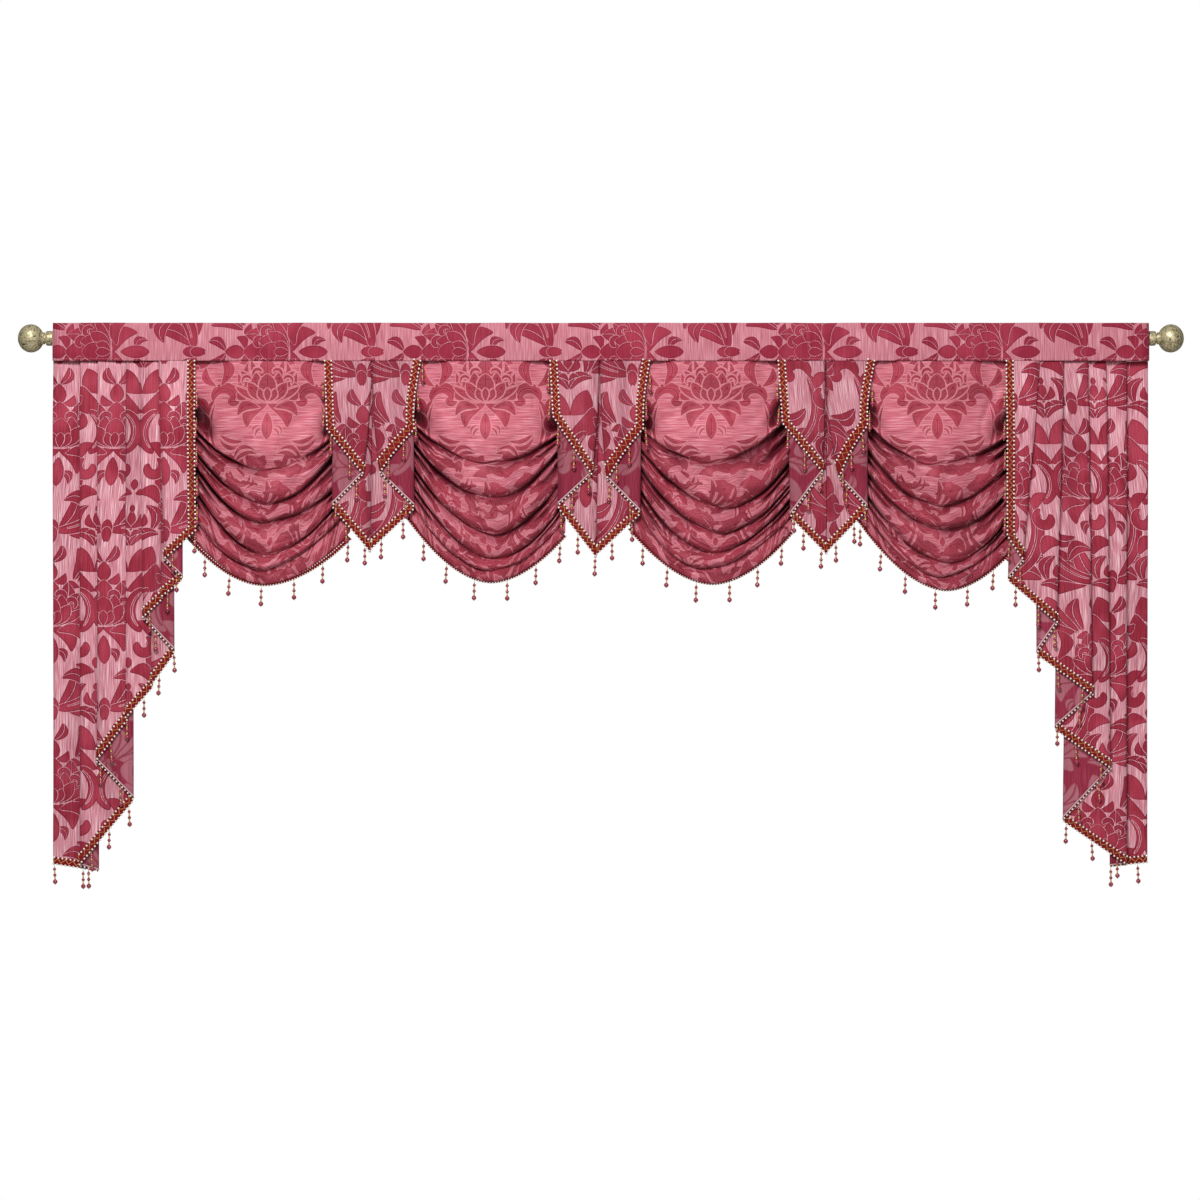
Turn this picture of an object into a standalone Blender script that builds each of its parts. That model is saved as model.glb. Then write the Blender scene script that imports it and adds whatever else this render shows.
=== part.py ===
"""A swag and tail drape on its curtain rod.

Four swags hang between three double cascades (jabots) and two long tails. All are sewn into the
seam under one rod pocket, and a braid with beaded drops follows every cut edge. Metres, +Z up.
The origin is on the rod's axis, halfway along it, and -Y faces the room.
"""

import math
from collections import namedtuple

import bmesh
import bpy
from mathutils import Matrix, Vector

MM = 0.001
GAP = 0.3  # mm between pieces that touch
BRAID_GAP = 0.6  # mm between a folded piece and the braid that carries its drops
SWAG_BRAID_PLAY = 0.1  # mm added to the gap behind a swag's hem, where both are curved

# Driving sizes in millimetres
HEADING_HALF = 1250.0  # half the drape's width
SEAM = 52.5  # the heading's lower edge, below the rod's axis
CLOTH = 1.6  # thickness of the lined damask
BRAID_WIDTH = 18.0
BRAID_THICK = 1.2
ROD_RADIUS = 14.0
ROD_SIDES = 24
SOCKET_DEPTH = 13.0  # how far the rod goes into a finial's collar
DROP_LENGTH = 50.0
SWAG_DROP_PITCH = 74.0
DROP_TOP_RADIUS = 0.6
DROP_LOW_RADIUS = 4.6
DROP_RISE = 2.5  # how far a drop's top goes up into its braid
DROP_INSET = 1.5  # how far it goes in from a hanging side's edge
DROP_LEAN = 0.15  # radians by which it hangs clear of that side
TOP = SEAM + GAP  # where the hung pieces start

# The heading's section, as (y, z) in millimetres: a fin of two layers stands in front above the
# rod, the back layer passes over the rod, and a turned seam closes the pocket below.
POCKET_OUTSIDE = [
    (-16.5, 34), (-18.5, 20), (-21, 0), (-22.5, -25), (-22.5, -SEAM), (2, -SEAM), (5, -49),
    (15, -25), (18.3, -4), (15.8, 8), (10.4, 13.8), (2, 17), (-6, 18), (-13, 20), (-13.5, 34),
]
POCKET_INSIDE = [
    (-16.6, 16.5), (-19, 0), (-20.5, -25), (-20.5, -50), (1, -50), (3, -48), (13, -25),
    (16.3, -4), (13.8, 6.8), (9, 11.6), (3, 14.35), (0, 14.6), (-5, 15.2), (-12, 17),
]

# A fold line of a swag: how far below the rod's axis it runs at the left side, at its lowest
# point and at the right side, and where that lowest point is from the swag's middle.
FoldLine = namedtuple("FoldLine", "left low_x low right")
Swag = namedtuple("Swag", "middle half first_drop lines")

# Where a braid's drops hang: the first along the braid, and from one to the next.
Drops = namedtuple("Drops", "first pitch")
SWAGS = [
    Swag(-760, 188, 66, [
        FoldLine(182, -4, 301, 183),
        FoldLine(227, -4, 379, 209),
        FoldLine(254, -4, 421, 306),
        FoldLine(308, 1, 493, 333),
        FoldLine(382, -18, 529, 386),
        FoldLine(435, -4, 562, 443),
    ]),
    Swag(-263, 182, 68, [
        FoldLine(179, 1, 283, 210),
        FoldLine(212, 15, 368, 232),
        FoldLine(265, 19, 446, 309),
        FoldLine(307, 24, 504, 366),
        FoldLine(358, 10, 531, 412),
        FoldLine(399, 13, 557, 444),
    ]),
    Swag(251, 186, 48, [
        FoldLine(184, -7, 282, 171),
        FoldLine(217, 31, 388, 274),
        FoldLine(256, 25, 444, 327),
        FoldLine(303, 2, 490, 359),
        FoldLine(361, -26, 527, 404),
        FoldLine(428, 2, 561, 437),
    ]),
    Swag(766, 184, 22, [
        FoldLine(162, -9, 285, 212),
        FoldLine(210, 2, 381, 274),
        FoldLine(268, 14, 438, 327),
        FoldLine(315, 27, 514, 381),
        FoldLine(363, 7, 545, 425),
        FoldLine(400, 18, 575, 466),
    ]),
]
SWAG_COLUMNS = 11
SWAG_SAG = 1.8  # power of the curve in which a fold line hangs
SWAG_SIDE_Y = -9.0
SWAG_BELLY = 47.0
BELLY_POWERS = (1.6, 1.5)  # of the curve in which the belly falls away to the sides
BELLY_TURN = 100.0  # degrees of a sine, from the seam to the hem
SIDE_FOLD = 0.5  # share of a fold's depth that is left at the sides
TOP_LIFT = 10.0  # how far the sewn edge lies in front of the sides
LIFT_ENDS = 62.0  # how far from the sides it has come back, under the braids beside it
LIFT_RAMP = 40.0
LIFT_RUN = 0.22  # share of the way down over which it comes back
SWAG_HEM_FLAT = 12.0
SWAG_BRAID = (8.0, 13.0)  # the strip behind a swag's hem: its top above the hem, and its height

# Where the rows of a band lie between one fold line and the next, and how far they stand out of
# the swag's mean surface. The crest hangs just above the next line's groove.
BandRow = namedtuple("BandRow", "fraction out")
TOP_BAND = [BandRow(0, 0), BandRow(0.25, 1), BandRow(0.6, 4), BandRow(0.85, 7), BandRow(0.95, 4)]
BAND = [BandRow(0, -8), BandRow(0.25, -1), BandRow(0.6, 4), BandRow(0.82, 6), BandRow(0.92, 2)]

# A line down a folded piece: its place at the top and at its hem, how far below the rod's axis
# the hem is there, and the layer in which the cloth comes to it and leaves it. Layer 0 is the
# foremost. A fold changes the layer by one, and a cut edge or a crease keeps it.
# A piece's opening is the power by which its folds move from their top place to their low one.
Line = namedtuple("Line", "top low hem come leave opening", defaults=(1,))
Folded = namedtuple("Folded", "name braid_ends opening drops lines")
TAIL_LEFT = Folded("tail_left", (True, False), 1, Drops(62, 66), [
    Line(-926, -922, 440, 0, 0),
    Line(-1008, -992, 506, 0, 1),
    Line(-953, -953, 550, 1, 2),
    Line(-1000, -1000, 592, 1.85, 1.85),
    Line(-1052, -1042, 639, 1, 2),
    Line(-974, -974, 717, 3, 4),
    Line(-1022, -1024, 794, 3.4, 3.4),
    Line(-1081, -1081, 867, 2.4, 2.4),
    Line(-1147, -1147, 965, 1, 2),
    Line(-1068, -1068, 1054, 3.6, 4.6),
    Line(-1188, -1188, 1204, 2, 3),
    Line(-1147, -1147, 1218, 4, 5),
    Line(-1250, -1250, 1200, 3, 3),
])
TAIL_RIGHT = Folded("tail_right", (True, False), 1, Drops(64, 69), [
    Line(924, 924, 452, 0, 0),
    Line(1001, 960, 509, 0, 1),
    Line(937, 928, 552, 1, 2),
    Line(1056, 1038, 650, 1, 2),
    Line(992, 995, 721, 3, 4),
    Line(1111, 1120, 814, 2, 3),
    Line(1047, 1038, 892, 4.3, 5.3),
    Line(1153, 1163, 983, 3, 4),
    Line(1070, 1058, 1103, 5.8, 6.8),
    Line(1200, 1202, 1204, 4, 5),
    Line(1166, 1166, 1209, 5.8, 6.8),
    Line(1250, 1250, 1198, 5, 5),
])
JABOTS = [
    Folded("jabot_1", (True, True), 2.5, Drops(38, 67), [
        Line(-630, -623, 210, 0, 0),
        Line(-524, -543, 311, 0, 1),
        Line(-611, -612, 385, 1, 2),
        Line(-522, -527, 490, 2, 2),
        Line(-427, -425, 388, 2, 1),
        Line(-520, -501, 310, 1, 0),
        Line(-411, -424, 210, 0, 0),
    ]),
    Folded("jabot_2", (True, True), 2.5, Drops(22, 64), [
        Line(-116, -109, 180, 0, 0),
        Line(-5, -23, 312, 0, 1),
        Line(-98, -98, 385, 1, 2),
        Line(-5, -13, 502, 2, 2),
        Line(91, 89, 401, 2, 1),
        Line(-1, 15, 322, 1, 0),
        Line(111, 97, 208, 0, 0),
    ]),
    Folded("jabot_3", (True, True), 2.5, Drops(44, 59), [
        Line(404, 413, 196, 0, 0),
        Line(510, 503, 308, 0, 1),
        Line(428, 432, 408, 1, 2),
        Line(511, 513, 495, 2, 2),
        Line(607, 607, 390, 2, 1),
        Line(514, 544, 319, 1, 0),
        Line(624, 607, 201, 0, 0),
    ]),
]
FRONT_TOP_Y = -21.0  # the foremost layer, at the seam and well below it
FRONT_LOW_Y = -39.0
FRONT_RUN = 170.0
PITCH_TOP = 3.2  # from layer to layer: pressed at the seam, opening downwards
PITCH_MID = 6.5
PITCH_LOW = 8.5
PITCH_LOW_AT = 700.0
FOLDED_ROWS = 7
SIDE_STEPS = 3  # stretches of the braid down a cut side, before its bend
PANEL_STEP = 60.0  # widest stretch of a folded panel between two columns

# Half a finial's outline, as (radius, distance from the heading): the neck ring and the neck,
# then the collar, and the socket for the rod inside it.
RING_AND_NECK = [(14.0, 23.0), (11.0, 20.5), (11.5, 17.7)]
COLLAR = [(14.5, 17.3), (16.3, 15.4), (16.9, 12.0), (16.9, 5.0), (16.3, 1.6), (15.3, 0)]
SOCKET = [(ROD_RADIUS + GAP, 0), (ROD_RADIUS + GAP, SOCKET_DEPTH), (0, SOCKET_DEPTH)]
BALL_CENTRE = 52.4
BALL_END_RADIUS = 13.0  # where the ball meets the neck ring
BALL_LENGTH = 29.6  # half its length along the rod
BALL_RADIUS = 32.3
BALL_STEPS = 8
ROUND_STEPS = 16

DAMASK = ((0.52, 0.13, 0.18), 0.6, 0.0)
BRAID_RED = ((0.32, 0.02, 0.03), 0.55, 0.0)
GOLD_LEAF = ((0.38, 0.32, 0.19), 0.4, 0.8)
ROD_STEEL = ((0.35, 0.30, 0.19), 0.35, 0.9)


def clear_scene():
    """Removes every object, so that only the drape is left in the file."""
    for ob in list(bpy.data.objects):
        bpy.data.objects.remove(ob, do_unlink=True)


def new_collection(name):
    """A collection linked to the scene."""
    group = bpy.data.collections.new(name)
    bpy.context.scene.collection.children.link(group)
    return group


def new_material(name, look):
    """A Principled material from (colour, roughness, metallic)."""
    colour, roughness, metallic = look
    mat = bpy.data.materials.new(name)
    mat.use_nodes = True
    shader = mat.node_tree.nodes["Principled BSDF"]
    shader.inputs["Base Color"].default_value = (*colour, 1)
    shader.inputs["Roughness"].default_value = roughness
    shader.inputs["Metallic"].default_value = metallic
    return mat


def add_mesh(name, points, faces, group, look):
    """A mesh object from points in millimetres, with its own material."""
    mesh = bpy.data.meshes.new(name)
    mesh.from_pydata([Vector(p) * MM for p in points], [], faces)
    ob = bpy.data.objects.new(name, mesh)
    ob.data.materials.append(new_material(f"{name} finish", look))
    group.objects.link(ob)
    return ob


def solidify(ob, thickness, even=True):
    """Gives an open sheet its thickness, half to each side, evenly where its bends are blunt."""
    shell = ob.modifiers.new("thickness", "SOLIDIFY")
    shell.thickness = thickness * MM
    shell.offset = 0
    shell.use_even_offset = even


def grid_faces(rows, columns):
    """The quads of a grid whose points are listed row by row."""
    return [
        (r * columns + c, (r + 1) * columns + c, (r + 1) * columns + c + 1, r * columns + c + 1)
        for r in range(rows - 1)
        for c in range(columns - 1)
    ]


def mix(a, b, t):
    """The value a share t of the way from a to b."""
    return a + (b - a) * t


def ease(t):
    """A smooth step from 0 to 1."""
    t = min(max(t, 0.0), 1.0)
    return t * t * (3 - 2 * t)


# --- Swags -------------------------------------------------------------------------------------


def line_drop(line, half, x):
    """How far below the rod's axis a fold line hangs at x from the swag's middle."""
    side, reach = (line.right, half) if x > line.low_x else (line.left, -half)
    share = abs((x - line.low_x) / (reach - line.low_x))
    return mix(line.low, side, share**SWAG_SAG)


def swag_y(half, x, depth, out):
    """A swag's depth: its belly grows downwards and towards the middle, and out is a fold's."""
    across = (1 - abs(x / half) ** BELLY_POWERS[0]) ** BELLY_POWERS[1]
    belly = SWAG_BELLY * math.sin(math.radians(BELLY_TURN * depth))
    lift = TOP_LIFT * ease((half - LIFT_ENDS - abs(x)) / LIFT_RAMP) * (1 - ease(depth / LIFT_RUN))
    return SWAG_SIDE_Y - lift - belly * across - out * mix(SIDE_FOLD, 1.0, across)


def swag_rows(swag, x):
    """The points of one column of a swag, from the seam to the hem, as (y, z)."""
    drops = [TOP] + [line_drop(line, swag.half, x) for line in swag.lines]
    hem = drops[-1]
    rows = []
    for i, (above, below) in enumerate(zip(drops[:-2], drops[1:-1])):
        rows += [(mix(above, below, row.fraction), row.out) for row in (BAND if i else TOP_BAND)]
    last = drops[-2]
    rows += [(last, BAND[0].out), (mix(last, hem - SWAG_HEM_FLAT, 0.5), BAND[1].out)]
    rows += [(hem - SWAG_HEM_FLAT, BAND[2].out)]
    points = [(swag_y(swag.half, x, (d - TOP) / (hem - TOP), out), -d) for d, out in rows]
    return points + [(points[-1][0], -hem)]


def build_swag(index, swag, parts, cutters):
    """A swag as one draped sheet, and the beaded strip behind its hem."""
    name = f"swag_{index}"
    offsets = [mix(-swag.half, swag.half, c / (SWAG_COLUMNS - 1)) for c in range(SWAG_COLUMNS)]
    columns = [swag_rows(swag, x) for x in offsets]
    rows = len(columns[0])
    points = [
        (swag.middle + x, *column[row])
        for row in range(rows)
        for x, column in zip(offsets, columns)
    ]
    sheet = add_mesh(name, points, grid_faces(rows, SWAG_COLUMNS), parts, DAMASK)
    solidify(sheet, CLOTH, even=False)

    behind = CLOTH / 2 + GAP + SWAG_BRAID_PLAY + BRAID_THICK / 2
    rise, height = SWAG_BRAID
    hem = [(swag.middle + x, *column[-1]) for x, column in zip(offsets, columns)]
    upper = [(x, y + behind, z + rise) for x, y, z in hem]
    lower = [(x, y, z - height) for x, y, z in upper]
    drops = Drops(swag.first_drop, SWAG_DROP_PITCH)
    build_fringe(f"{name}_fringe", upper, lower, [0] * len(upper), drops, parts, cutters)


# --- Tails and jabots --------------------------------------------------------------------------


def layer_y(layer, drop):
    """The depth of a layer of folded cloth at a height: the folds open and lean forward."""
    below = drop - TOP
    front = mix(FRONT_TOP_Y, FRONT_LOW_Y, ease(below / FRONT_RUN))
    pitch = mix(PITCH_TOP, PITCH_MID, ease(below / FRONT_RUN))
    pitch += (PITCH_LOW - PITCH_MID) * ease((below - FRONT_RUN) / PITCH_LOW_AT)
    return front + layer * pitch


def line_x(line, drop):
    """Where a line of a folded piece is at a height."""
    share = min(max((drop - TOP) / (line.hem - TOP), 0), 1)
    return mix(line.top, line.low, share**line.opening)


def fold_radius(line, drop):
    """Half the distance between the two layers that a fold joins."""
    half_step = abs(line.leave - line.come) / 2
    return layer_y(half_step, drop) - layer_y(0, drop)


# A column down a folded piece lies a share of the way from line number at to the next one, or,
# with bend set, on the outside of the fold at that line.
Column = namedtuple("Column", "at share bend")


def column_point(lines, column, drop):
    """The point of a column at a height."""
    line = lines[column.at]
    if column.bend:
        return (line_x(line, drop), layer_y((line.come + line.leave) / 2, drop), -drop)
    following = lines[column.at + 1]
    way = math.copysign(1, following.low - line.low)
    start = line_x(line, drop) + way * fold_radius(line, drop)
    end = line_x(following, drop) - way * fold_radius(following, drop)
    layer = mix(line.leave, following.come, column.share)
    return (mix(start, end, column.share), layer_y(layer, drop), -drop)


def column_hem(lines, column):
    """How far below the rod's axis the hem is at a column."""
    if column.bend:
        return lines[column.at].hem
    return mix(lines[column.at].hem, lines[column.at + 1].hem, column.share)


def band_height(lines, at):
    """How tall the slanted braid stands at a line: its width along the hem's slope."""
    slopes = [
        abs((lines[b].hem - lines[a].hem) / (lines[b].low - lines[a].low))
        for a, b in ((at - 1, at), (at, at + 1))
        if a >= 0 and b < len(lines)
    ]
    return BRAID_WIDTH * sum(math.hypot(1, slope) for slope in slopes) / len(slopes)


def with_braid_lines(piece):
    """The piece's lines, its folds opening, and one more line inside each braided end."""
    lines = [
        line if line.come == line.leave else line._replace(opening=piece.opening)
        for line in piece.lines
    ]
    for end, step in ((0, 1), (-1, -1)):
        if not piece.braid_ends[end]:
            continue
        edge, inner = lines[end], lines[end + step]
        way = math.copysign(BRAID_WIDTH, inner.low - edge.low)
        share = way / (inner.low - edge.low)
        inset = Line(
            edge.top + way, edge.low + way, mix(edge.hem, inner.hem, share), edge.leave, edge.leave
        )
        lines.insert(1 if end == 0 else len(lines) - 1, inset)
    return lines


def folded_columns(lines, first, last):
    """The columns from line number first to line number last, with a bend at each fold."""
    columns = []
    for at in range(first, last):
        line, following = lines[at], lines[at + 1]
        if line.come != line.leave and at > first:
            columns.append(Column(at, 0, True))
        count = max(1, math.ceil(abs(following.low - line.low) / PANEL_STEP))
        first_share = 1 if at > first and line.come == line.leave else 0
        columns += [Column(at, k / count, False) for k in range(first_share, count + 1)]
    return columns


def side_braid(lines, bands, edge, inset):
    """The braid down a cut side, from the seam to where the hem starts to slant.

    Each mark is a point of its inner side, one of its outer side, and where a drop leans.
    """
    bend = lines[inset].hem - bands[inset]
    heights = [(drop, drop) for drop in (mix(TOP, bend, k / SIDE_STEPS) for k in range(SIDE_STEPS))]
    outer = Column(min(edge, inset), 0 if inset > edge else 1, False)
    inner = outer._replace(share=1 - outer.share)
    lean = math.copysign(1, lines[edge].low - lines[inset].low)
    return [
        (column_point(lines, inner, high), column_point(lines, outer, low), lean)
        for high, low in heights + [(bend, lines[edge].hem)]
    ]


def build_folded(piece, parts, cutters):
    """A tail or jabot as one sheet folded back and forth, and the braid along its cut edges."""
    lines = with_braid_lines(piece)
    first = 1 if piece.braid_ends[0] else 0
    last = len(lines) - (2 if piece.braid_ends[1] else 1)
    columns = folded_columns(lines, first, last)
    bands = [band_height(lines, at) for at in range(len(lines))]

    def band(column):
        """The braid's height at a column."""
        return mix(bands[column.at], bands[min(column.at + 1, last)], column.share)

    points = []
    for row in range(FOLDED_ROWS):
        for column in columns:
            hem = column_hem(lines, column) - band(column) * (1 + BRAID_GAP / BRAID_WIDTH)
            x, y, z = column_point(lines, column, mix(TOP, hem, row / (FOLDED_ROWS - 1)))
            for end, way in ((0, 1), (-1, -1)):
                if piece.braid_ends[end] and column is columns[end]:
                    x += way * math.copysign(BRAID_GAP, lines[-1].low - lines[0].low)
            points.append((x, y, z))
    faces = grid_faces(FOLDED_ROWS, len(columns))
    solidify(add_mesh(piece.name, points, faces, parts, DAMASK), CLOTH)

    end = len(columns) - (1 if piece.braid_ends[1] else 0)
    hems = [(column, column_hem(lines, column)) for column in columns[first:end]]
    marks = [
        (column_point(lines, column, hem - band(column)), column_point(lines, column, hem), 0)
        for column, hem in hems
    ]
    if piece.braid_ends[0]:
        marks = side_braid(lines, bands, 0, 1) + marks
    if piece.braid_ends[1]:
        marks += reversed(side_braid(lines, bands, len(lines) - 1, len(lines) - 2))
    inner, outer, lean = zip(*marks)
    build_fringe(f"{piece.name}_fringe", inner, outer, lean, piece.drops, parts, cutters)


# --- Braid and drops ---------------------------------------------------------------------------


def along(points, distance):
    """The point at a distance along a polyline, and the number of the stretch that holds it."""
    for i, (a, b) in enumerate(zip(points, points[1:])):
        length = (b - a).length
        if distance <= length:
            return a.lerp(b, distance / length), i
        distance -= length
    return points[-1].copy(), len(points) - 2


def build_fringe(name, inner, outer, lean, drops, parts, cutters):
    """A braid strip between two lines of points, fused with the four-sided drops under it.

    lean says for each point to which side the drop hangs clear of the strip: -1, 0 or 1.
    """
    count = len(inner)
    strip = add_mesh(name, [*inner, *outer], grid_faces(2, count), parts, BRAID_RED)
    solidify(strip, BRAID_THICK)

    edge = [Vector(p) for p in outer]
    length = sum((b - a).length for a, b in zip(edge, edge[1:]))
    bm = bmesh.new()
    for k in range(math.ceil((length - drops.first) / drops.pitch)):
        root, stretch = along(edge, drops.first + k * drops.pitch)
        sideways = DROP_LEAN * lean[stretch]
        start = root + Vector((-DROP_INSET * lean[stretch], 0, DROP_RISE))
        turn = Matrix.Rotation(-sideways, 4, "Y") @ Matrix.Rotation(math.radians(45), 4, "Z")
        axis = turn @ Vector((0, 0, -1))
        middle = start + axis * (DROP_LENGTH / 2)
        bmesh.ops.create_cone(
            bm, cap_ends=True, segments=4, radius1=DROP_LOW_RADIUS, radius2=DROP_TOP_RADIUS,
            depth=DROP_LENGTH, matrix=Matrix.Translation(middle) @ turn,
        )
    bmesh.ops.scale(bm, vec=(MM, MM, MM), verts=bm.verts)
    mesh = bpy.data.meshes.new(f"{name} drops")
    bm.to_mesh(mesh)
    bm.free()
    beads = bpy.data.objects.new(f"{name} drops", mesh)
    beads.hide_render = True
    beads.display_type = "WIRE"
    cutters.objects.link(beads)
    union = strip.modifiers.new("drops", "BOOLEAN")
    union.operation = "UNION"
    union.object = beads


# --- Heading, rod and finials ------------------------------------------------------------------


def build_heading(parts):
    """The rod pocket: one section drawn along the rod, open at both ends."""
    outline = bpy.data.curves.new("heading outline", "CURVE")
    outline.dimensions = "2D"
    outline.fill_mode = "BOTH"
    outline.extrude = HEADING_HALF * MM
    for loop in (POCKET_OUTSIDE, POCKET_INSIDE):
        spline = outline.splines.new("POLY")
        spline.points.add(len(loop) - 1)
        for point, (y, z) in zip(spline.points, loop):
            point.co = (y * MM, z * MM, 0, 1)
        spline.use_cyclic_u = True
    guide = bpy.data.objects.new("heading", outline)
    guide.rotation_euler = (math.radians(90), 0, math.radians(90))
    guide.data.materials.append(new_material("heading finish", DAMASK))
    parts.objects.link(guide)


def build_rod(parts):
    """The rod, hidden in the pocket, with its ends in the finials' collars."""
    reach = HEADING_HALF + SOCKET_DEPTH
    bpy.ops.mesh.primitive_cylinder_add(
        vertices=ROD_SIDES, radius=ROD_RADIUS * MM, depth=2 * reach * MM,
        rotation=(0, math.radians(90), 0),
    )
    rod = bpy.context.active_object
    rod.name = "rod"
    rod.data.name = "rod"
    rod.data.materials.append(new_material("rod finish", ROD_STEEL))
    rod.data.shade_smooth()
    for group in list(rod.users_collection):
        group.objects.unlink(rod)
    parts.objects.link(rod)


def finial_outline():
    """The finial's profile as (radius, distance), from the ball's pole to the socket's floor."""
    last = math.pi - math.asin(BALL_END_RADIUS / BALL_RADIUS)
    angles = [mix(0, last, k / BALL_STEPS) for k in range(BALL_STEPS + 1)]
    ball = [
        (BALL_RADIUS * math.sin(angle), BALL_CENTRE + BALL_LENGTH * math.cos(angle))
        for angle in angles
    ]
    return ball + RING_AND_NECK + COLLAR + SOCKET


def build_finial(name, side, parts):
    """A turned ball finial with its collar over the rod's end."""
    outline = [(radius, 0, distance) for radius, distance in finial_outline()]
    edges = [(i, i + 1) for i in range(len(outline) - 1)]
    mesh = bpy.data.meshes.new(name)
    mesh.from_pydata([Vector(p) * MM for p in outline], edges, [])
    finial = bpy.data.objects.new(name, mesh)
    finial.data.materials.append(new_material(f"{name} finish", GOLD_LEAF))
    parts.objects.link(finial)
    finial.location = (side * (HEADING_HALF + GAP) * MM, 0, 0)
    finial.rotation_euler = (0, side * math.radians(90), 0)
    turn = finial.modifiers.new("turned", "SCREW")
    turn.steps = turn.render_steps = ROUND_STEPS
    turn.use_merge_vertices = True
    turn.merge_threshold = 0.0001


def main():
    """Builds the whole drape."""
    clear_scene()
    parts = new_collection("swag_and_tail_drape")
    cutters = new_collection("cutters")
    build_rod(parts)
    build_finial("finial_left", -1, parts)
    build_finial("finial_right", 1, parts)
    build_heading(parts)
    for index, swag in enumerate(SWAGS, 1):
        build_swag(index, swag, parts, cutters)
    for piece in (TAIL_LEFT, TAIL_RIGHT, *JABOTS):
        build_folded(piece, parts, cutters)


main()
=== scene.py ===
"""Looks of a swag and tail drape on its curtain rod.

Damask, braid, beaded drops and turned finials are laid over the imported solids, in one frame:
metres, +Z up, with -Y towards the room. The tables below are in millimetres, and a drop in them
is a distance down from the rod's axis.
"""

import logging
import math
from bisect import bisect_right
from collections.abc import Callable, Sequence
from dataclasses import dataclass
from enum import Enum
from functools import lru_cache, partial
from typing import NamedTuple, Protocol

import bpy
from bpy.types import ID, Material, Node, NodeSocket, NodeTree, Object
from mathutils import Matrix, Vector, noise


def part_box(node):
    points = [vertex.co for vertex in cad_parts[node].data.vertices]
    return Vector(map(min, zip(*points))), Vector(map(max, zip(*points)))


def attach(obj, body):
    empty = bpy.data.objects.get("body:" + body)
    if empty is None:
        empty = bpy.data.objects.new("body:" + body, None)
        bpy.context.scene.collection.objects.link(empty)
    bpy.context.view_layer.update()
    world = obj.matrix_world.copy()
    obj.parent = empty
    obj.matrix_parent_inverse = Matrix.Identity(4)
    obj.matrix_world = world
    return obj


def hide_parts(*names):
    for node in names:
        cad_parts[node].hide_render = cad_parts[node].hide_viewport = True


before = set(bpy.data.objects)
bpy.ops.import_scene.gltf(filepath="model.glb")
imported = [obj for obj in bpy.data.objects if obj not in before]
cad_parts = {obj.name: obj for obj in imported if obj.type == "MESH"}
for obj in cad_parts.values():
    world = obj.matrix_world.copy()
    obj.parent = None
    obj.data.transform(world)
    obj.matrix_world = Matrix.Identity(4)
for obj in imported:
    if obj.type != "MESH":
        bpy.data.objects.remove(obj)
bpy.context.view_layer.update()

log = logging.getLogger("drape")

MM = 0.001
PER_METRE = (1000.0,) * 3  # turns a place in metres to millimetres
BODY = "root"
UV_NAME = "cloth"
ACROSS = "across"  # the attribute that says which way is across a cord's line

Pair = tuple[float, float]

HEADING_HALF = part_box("heading")[1].x / MM
SEAM = -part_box("heading")[0].z / MM
TOP = SEAM + 0.3  # where the hung pieces start, below the rod's axis
CLOTH = 1.25  # thickness of the damask
FACE = CLOTH / 2  # from the middle of the cloth to its face


class Slot(Enum):
    """The record's material slots."""

    DAMASK = "damask"
    TRIM = "beaded_braid"
    METAL = "champagne_metal"


# --- Small sums --------------------------------------------------------------------------------


def mix(a: float, b: float, share: float) -> float:
    """The value a share of the way from a to b."""
    return a + (b - a) * share


def ease(share: float) -> float:
    """A smooth step from 0 to 1."""
    share = min(max(share, 0.0), 1.0)
    return share * share * (3 - 2 * share)


def wobble(*place: float) -> float:
    """Smooth noise at a place in three dimensions."""
    return noise.noise(Vector(place))


def linear(colour: str) -> tuple[float, float, float, float]:
    """Turns an sRGB colour into the linear one that a shader takes.

    Args:
        colour: The colour as "#rrggbb".

    Returns:
        Red, green, blue and an alpha of 1.
    """
    parts = [int(colour[i : i + 2], 16) / 255 for i in (1, 3, 5)]
    return (*[p / 12.92 if p <= 0.04045 else ((p + 0.055) / 1.055) ** 2.4 for p in parts], 1.0)


def smooth_line(knots: Sequence[Pair], steps: int) -> list[Pair]:
    """Points on a smooth curve through the knots.

    Args:
        knots: The points that the curve goes through.
        steps: How many points stand for each stretch between two knots.

    Returns:
        The curve's points, the last knot included.
    """
    ends = [knots[0], *knots, knots[-1]]
    points = []
    for i in range(1, len(ends) - 2):
        a, b, c, d = (Vector(ends[i + k]) for k in (-1, 0, 1, 2))
        for k in range(steps):
            t = k / steps
            point = b * 2 + (c - a) * t + (a * 2 - b * 5 + c * 4 - d) * t**2
            points.append(tuple((point + (b * 3 - a - c * 3 + d) * t**3) / 2))
    return [*points, tuple(knots[-1])]


# --- Node trees --------------------------------------------------------------------------------


def feed(tree: NodeTree, socket: NodeSocket, value: object) -> None:
    """Links a socket or a Signal into a socket, or sets a colour or any other value on it."""
    source = value.socket if isinstance(value, Signal) else value
    if isinstance(source, NodeSocket):
        tree.links.new(source, socket)
    elif isinstance(source, str) and source.startswith("#"):
        socket.default_value = linear(source)
    else:
        socket.default_value = source


def add_node(
    tree: NodeTree, kind: str, inputs: dict | None = None, **settings: object
) -> Node:
    """Adds a node with its settings, values and links.

    Args:
        tree: The tree that the node goes into.
        kind: The node's type.
        inputs: What goes into each input, by its name or number: a number, a socket or a Signal.
        settings: The node's own settings.

    Returns:
        The new node.
    """
    node = tree.nodes.new(kind)
    for name, value in settings.items():
        setattr(node, name, value)
    for name, value in (inputs or {}).items():
        feed(tree, node.inputs[name], value)
    return node


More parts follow.
